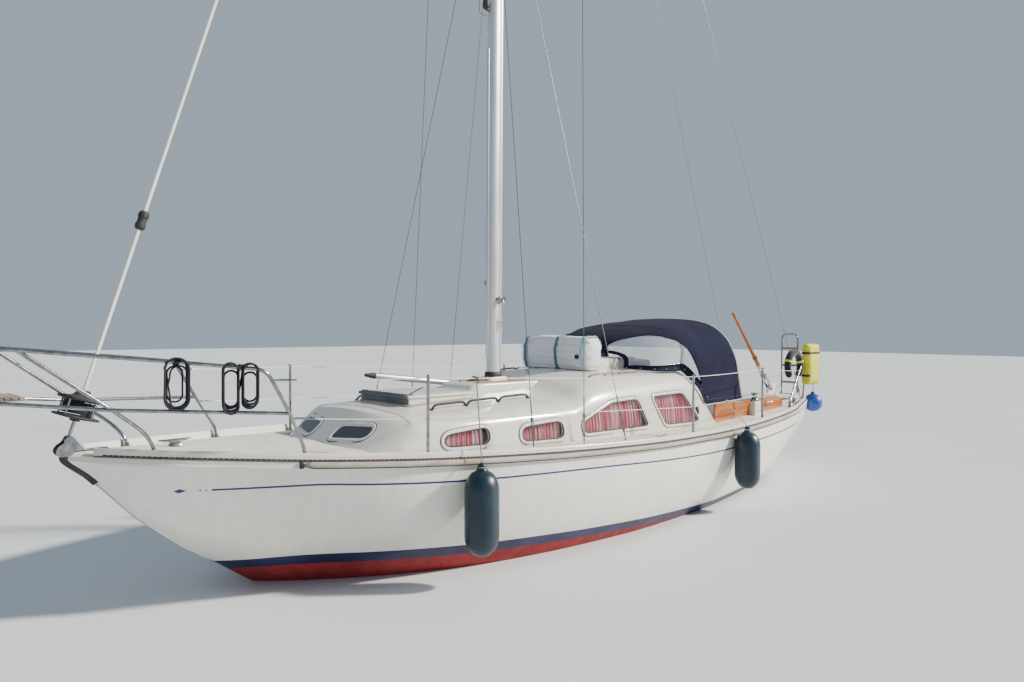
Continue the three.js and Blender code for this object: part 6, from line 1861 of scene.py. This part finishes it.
TILLER_WOOD = [[1.60, 0.020, 0.022], [1.40, 0.017, 0.020], [0.90, 0.022, 0.024], [0.33, 0.0283, 0.030],
               [0.24, 0.0283, 0.026]]
TILLER_ENDS = {1.592: 0.86, 1.60: 0.6, 0.24: 0.9}
rows = [(run, *[float(q) * TILLER_ENDS.get(run, 1.0) for q in table(TILLER_WOOD, run)])
        for run in [0.24, 0.245] + list(np.linspace(0.26, 1.56, 34)) + [1.58, 1.592, 1.60]]
piece("tiller_wood", tiller_bar(rows, 0.0, 0.62), VARNISH, "tiller", "varnished_wood", "tiller", sharp=60)
cheek = [(-0.024, 0.004, 0.016), (-0.016, 0.004, 0.0215), (0.0, 0.004, 0.022), (0.31, 0.004, 0.022),
         (0.325, 0.004, 0.018), (0.33, 0.003, 0.010)]
bolts = [rod(tiller_at(run, -0.0385, 0), tiller_at(run, 0.0385, 0), 0.006, 6) for run in (0.27, 0.305)]
cheeks = piece("tiller_cheeks", merged(*[tiller_bar(cheek, offset, 0.3) for offset in (0.0330, -0.0330)],
                                       *bolts), STEEL, "tiller", "stainless", sharp=40)
cut(cheeks, [across_pivot(-0.05, 0.05, 0.0081)])
wrap = [(0.335, 0.0325, 0.0335), (0.36, 0.035, 0.0365), (0.45, 0.034, 0.0355), (0.52, 0.0325, 0.034),
        (0.54, 0.030, 0.032)]
piece("tiller_wrap", tiller_bar(wrap, 0.0, 0.7), PIPING, "tiller", "canvas", sharp=80, level=1)
tie = [tiller_at(0.66 + 0.0085 * k / 14, 0.031 * math.cos(2 * math.pi * k / 14),
                 0.034 * math.sin(2 * math.pi * k / 14)) for k in range(4 * 14 + 1)]
piece("tiller_tie", sweep(tie, 0.004, 8), GREY_ROPE, "tiller", "rope")

# Engine block, shaft and propeller
SHAFT_SLOPE, PROP_X = 0.236, -3.545


def shaft_at(x):
    return Vector((x, 0, -0.120 + (x + 2.150) * SHAFT_SLOPE))


SHAFT_DIR = Vector((-1, 0, -SHAFT_SLOPE)).normalized()
piece("shaft", sweep([shaft_at(-2.1545), shaft_at(PROP_X + 0.0441)], 0.0158, 20), STEEL, "propeller",
      "stainless", "propeller_shaft")
hub_rows = [(0.001, -0.0449), (0.030, -0.0449), (0.032, -0.040), (0.034, 0.0), (0.033, 0.022), (0.026, 0.040),
            (0.022, 0.046), (0.018, 0.062), (0.010, 0.074), (0.001, 0.080)]
# One blade: (radius, half chord, half thickness); its section: shares of the half chord and half thickness
BLADE = [(0.024, 0.030, 0.0085), (0.05, 0.044, 0.0085), (0.09, 0.061, 0.0078), (0.125, 0.064, 0.007),
         (0.160, 0.058, 0.006), (0.185, 0.044, 0.005), (0.197, 0.026, 0.004), (0.1995, 0.010, 0.003)]
BLADE_SECTION = [(1, 0), (0.55, 0.75), (0, 1), (-0.55, 0.75), (-1, 0), (-0.55, -0.75), (0, -1), (0.55, -0.75)]


def blade_ring(r, half, thick):
    pitch = lerp(1.1, 0.5, r / 0.2)
    return [((w * half * math.cos(pitch) - t * thick * math.sin(pitch)) * 0.62,
             w * half * math.sin(pitch) + t * thick * math.cos(pitch), r) for w, t in BLADE_SECTION]


on_shaft = Matrix.Translation(shaft_at(PROP_X)) @ Matrix.Rotation(-math.atan(SHAFT_SLOPE), 4, "Y")
blades = [moved(loft([blade_ring(*row) for row in BLADE]), on_shaft @ Matrix.Rotation(turn, 4, "X"))
          for turn in turns(3)]
piece("screw_propeller", merged(spin(hub_rows, shaft_at(PROP_X), SHAFT_DIR, 28), *blades), BRONZE, "propeller",
      "bronze", "propeller", sharp=45)
engine = merged(block((-2.148, -0.245, -0.213), (-1.452, 0.245, 0.02)),
                block((-2.06, -0.20, 0.018), (-1.50, 0.20, 0.235)))
piece("engine_block", engine, ENGINE, slot="engine_paint", stands_for="engine", bevel=0.02)

# Boarding ladder, cleats and spinnaker pole
LADDER_X, LADDER_Z, LADDER_TALL, RUNG_RISES = -4.742, 0.956, 0.885, (0.170, 0.420, 0.670)
LADDER_Y0, LADDER_Y1 = 0.225, 0.465


def across_ladder(rise, radius, past=0.0):
    return rod((LADDER_X, LADDER_Y0 - past, LADDER_Z + rise), (LADDER_X, LADDER_Y1 + past, LADDER_Z + rise),
               radius, 14)


loop = round_route([(LADDER_X, y, LADDER_Z + rise)
                    for y, rise in ((LADDER_Y0, 0), (LADDER_Y0, LADDER_TALL), (LADDER_Y1, LADDER_TALL),
                                    (LADDER_Y1, 0))], 0.085, 8)
rungs = [across_ladder(rise, 0.011) for rise in RUNG_RISES]
piece("ladder_frame", merged(sweep(loop, TUBE, 14), across_ladder(0, 0.0079, 0.028), *rungs), STEEL,
      "boarding_ladder", "stainless", "boarding_ladder")
treads = [block((LADDER_X - 0.019, LADDER_Y0 + 0.016, z + 0.0105),
                (LADDER_X + 0.019, LADDER_Y1 - 0.016, z + 0.0215))
          for z in (LADDER_Z + rise for rise in RUNG_RISES)]
piece("ladder_treads", merged(*treads), TEAK, "boarding_ladder", "weathered_wood", bevel=0.003)


def deck_cleat(name, at, turn, node):
    half_bar = [(-0.110, 0.0070, 0.0055), (-0.106, 0.0078, 0.0060), (-0.060, 0.0125, 0.0105),
                (-0.030, 0.013, 0.0110)]
    rows = half_bar + [(-run, half, deep) for run, half, deep in half_bar[::-1]]
    bar = [[(run, half * math.cos(a), 0.052 - deep + min(deep * math.sin(a), deep * 0.97)) for a in turns(16)]
           for run, half, deep in rows]
    base = [flat_ring(round_outline([(-0.045 - g, -0.022 - g), (0.045 + g, -0.022 - g), (0.045 + g, 0.022 + g),
                                     (-0.045 - g, 0.022 + g)], 0.012), z)
            for z, g in ((-0.012, 0.0), (0.004, 0.0), (0.008, -0.004), (0.030, -0.008), (0.040, -0.006))]
    put = Matrix.Translation(Vector(at)) @ Matrix.Rotation(math.radians(turn), 4, "Z")
    piece(name, moved(merged(loft(bar), loft(base)), put), STEEL, slot="stainless", stands_for=node, sharp=50)


deck_cleat("foredeck_cleat", (3.960, 0, sheer(3.960) + CAMBER + 0.002), 0, "bow_cleat")
for side, word in SIDES:
    deck_cleat(f"quarter_cleat_{word}", (-4.150, side * 0.690, sheer(-4.150) + 0.016), side * 12,
               f"stern_cleat_{word}")

POLE_AFT, POLE_FORE, POLE_R = Vector((-1.480, -1.125, 1.050)), Vector((1.728, -1.048, 1.428)), 0.032
pole_dir, pole_long = (POLE_FORE - POLE_AFT).normalized(), (POLE_FORE - POLE_AFT).length
body_rows = [(0.030, 0.118), (POLE_R, 0.124), (POLE_R, pole_long - 0.124), (0.030, pole_long - 0.118)]
end_rows = [(0.001, 0.0), (0.014, 0.001), (0.018, 0.006), (0.020, 0.045), (0.026, 0.065), (0.030, 0.112),
            (0.0305, 0.128)]
piece("pole_tube", spin(body_rows, POLE_AFT, pole_dir, 28), ALUMINIUM, slot="aluminium",
      stands_for="spinnaker_pole")
ends = merged(spin(end_rows, POLE_AFT, pole_dir, 24), spin(end_rows, POLE_FORE, -pole_dir, 24))
piece("pole_ends", ends, RUBBER, slot="black_plastic", sharp=45)
chocks = []
for at in (POLE_AFT.lerp(POLE_FORE, t) for t in (0.06, 0.30)):
    foot = deck_height(at.x, at.y)
    chocks.append(block((at.x - 0.029, at.y - 0.037, foot - 0.003), (at.x + 0.029, at.y + 0.037, foot + 0.018)))
    chocks.append(block((at.x - 0.022, at.y - 0.036, foot + 0.014), (at.x + 0.022, at.y + 0.036, at.z - 0.006)))
piece("pole_chocks", merged(*chocks), TEAK, slot="weathered_wood", bevel=0.005)

# Horseshoe buoy, rescue bag and ball fender on the port quarter
BUOY, BUOY_RING, BUOY_R = Vector((-4.190, 0.667, 1.400)), 0.190, 0.050


def round_buoy(a, b, along, radius, squeeze):
    """A point on the buoy's arm: turned by a round the buoy and by b round the arm."""
    out, tangent = Vector((math.cos(a), 0, math.sin(a))), Vector((-math.sin(a), 0, math.cos(a)))
    return (BUOY + out * BUOY_RING + tangent * along + out * (radius * math.cos(b))
            + Vector((0, radius * squeeze * math.sin(b), 0)))


def buoy_ring(k):
    steps, seams = 56, (9, 19, 28, 37, 47)
    inset = 1 - min(1, min(k, steps - k) / 4)
    radius = BUOY_R * (0.975 if k in seams else 1.0) * min(1.0, math.sqrt(max(0.0, 1 - inset ** 2)) * 0.8 + 0.2)
    return [round_buoy(lerp(-0.9, math.pi + 0.9, k / steps), b, 0.0, radius, 0.96) for b in turns(20)]


buoy = raw("horseshoe_buoy_cover", loft([buoy_ring(k) for k in range(57)]))
finished(buoy, COVER_BLACK, "horseshoe_buoy", level=1)
buoy_straps = [loft([[round_buoy(a, b, half, r, 0.97) for b in turns(24)] for half, r in
                     ((-0.016, 0.0505), (-0.016, 0.0525), (0.016, 0.0525), (0.016, 0.0505), (-0.016, 0.0505))],
                    caps=False) for a in (0.35, math.pi - 0.35)]
piece("horseshoe_buoy_straps", merged(*buoy_straps), YELLOW, slot="yellow_fabric", sharp=50)

BAG_LOW, BAG_HIGH = Vector((-4.830, 0.643, 1.130)), Vector((-4.450, 0.770, 1.700))


def bag_ring(share):
    """A ring of the soft sewn case, which is fuller at its foot."""
    middle, half = (BAG_LOW + BAG_HIGH) / 2, (BAG_HIGH - BAG_LOW) / 2
    belly = 1.0 - 0.10 * share + 0.02 * math.sin(share * 14)
    end = math.sqrt(max(0.0, 1 - max(0.0, abs(share - 0.5) * 2 - 0.90) ** 2 / 0.01)) * 0.35 + 0.65
    ring = []
    for c, s in ((math.cos(b), math.sin(b)) for b in turns(40)):
        ring.append((middle.x + half.x * (0.985 if end > 0.9 else 0.96) * math.copysign(abs(c) ** 0.28, c),
                     middle.y + half.y * belly * end * math.copysign(abs(s) ** 0.55, s),
                     lerp(BAG_LOW.z, BAG_HIGH.z, share)))
    return ring


bag = raw("rescue_bag_case", loft([bag_ring(k / 24) for k in range(25)]))
puff(bag, 0.006, 0.006)
finished(bag, YELLOW, "rescue_bag", level=0)
loop = round_outline([(BAG_LOW.x - 0.002, BAG_LOW.y + 0.002), (BAG_HIGH.x + 0.002, BAG_LOW.y + 0.002),
                      (BAG_HIGH.x + 0.002, BAG_HIGH.y - 0.002), (BAG_LOW.x - 0.002, BAG_HIGH.y - 0.002)],
                     0.05, 6)
outer = grown(loop, 0.0022)
bands = [loft([flat_ring(outline, z + up) for outline, up in ((loop, 0), (outer, 0), (outer, 0.03),
                                                              (loop, 0.03), (loop, 0))], caps=False)
         for z in (1.24, 1.56)]
piece("rescue_bag_bands", merged(*bands), RUBBER, slot="black_plastic", sharp=50)
rows = [(0.13 * math.cos(a), 0.13 * math.sin(a)) for a in np.linspace(-math.pi / 2, math.pi / 2 - 0.28, 22)]
rows += [(0.030, 0.134), (0.027, 0.150), (0.020, 0.158), (0.001, 0.160)]
piece("ball_fender_body", spin(rows, (-4.790, 0.680, 0.850), (0, 0, 1), 40), BLUE_VINYL, slot="blue_vinyl",
      stands_for="ball_fender", sharp=70)
piece("ball_fender_lanyard", sweep([(-4.790, 0.680, 1.005), (-4.790, 0.680, 1.1295)], 0.0045, 10), GREY_ROPE,
      slot="rope")

# CAD nodes that keep their own shape
for name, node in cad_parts.items():
    if not node.hide_render:
        node.data.materials.clear()
        node.data.materials.append(DECK if name == "deck" else MOULD)

# Floor and light
floor = blank("studio_floor", [(-60, -60, 0), (60, -60, 0), (60, 60, 0), (-60, 60, 0)], [], [[0, 1, 2, 3]])
floor.data.materials.append(FLOOR)
world = bpy.data.worlds.new("studio")
world.use_nodes = True
feed(world.node_tree.nodes["Background"], {"Color": (0.70, 0.83, 1.0, 1.0), "Strength": 0.52})
bpy.context.scene.world = world
sun = bpy.data.objects.new("sun", bpy.data.lights.new("sun", "SUN"))
sun.data.energy, sun.data.angle, sun.data.color = 7.9, math.radians(4.0), (1.0, 0.945, 0.84)
sun.rotation_mode = "QUATERNION"
sun.rotation_quaternion = Vector((-0.66, 0.55, 0.52)).to_track_quat("Z", "Y")
bpy.context.scene.collection.objects.link(sun)
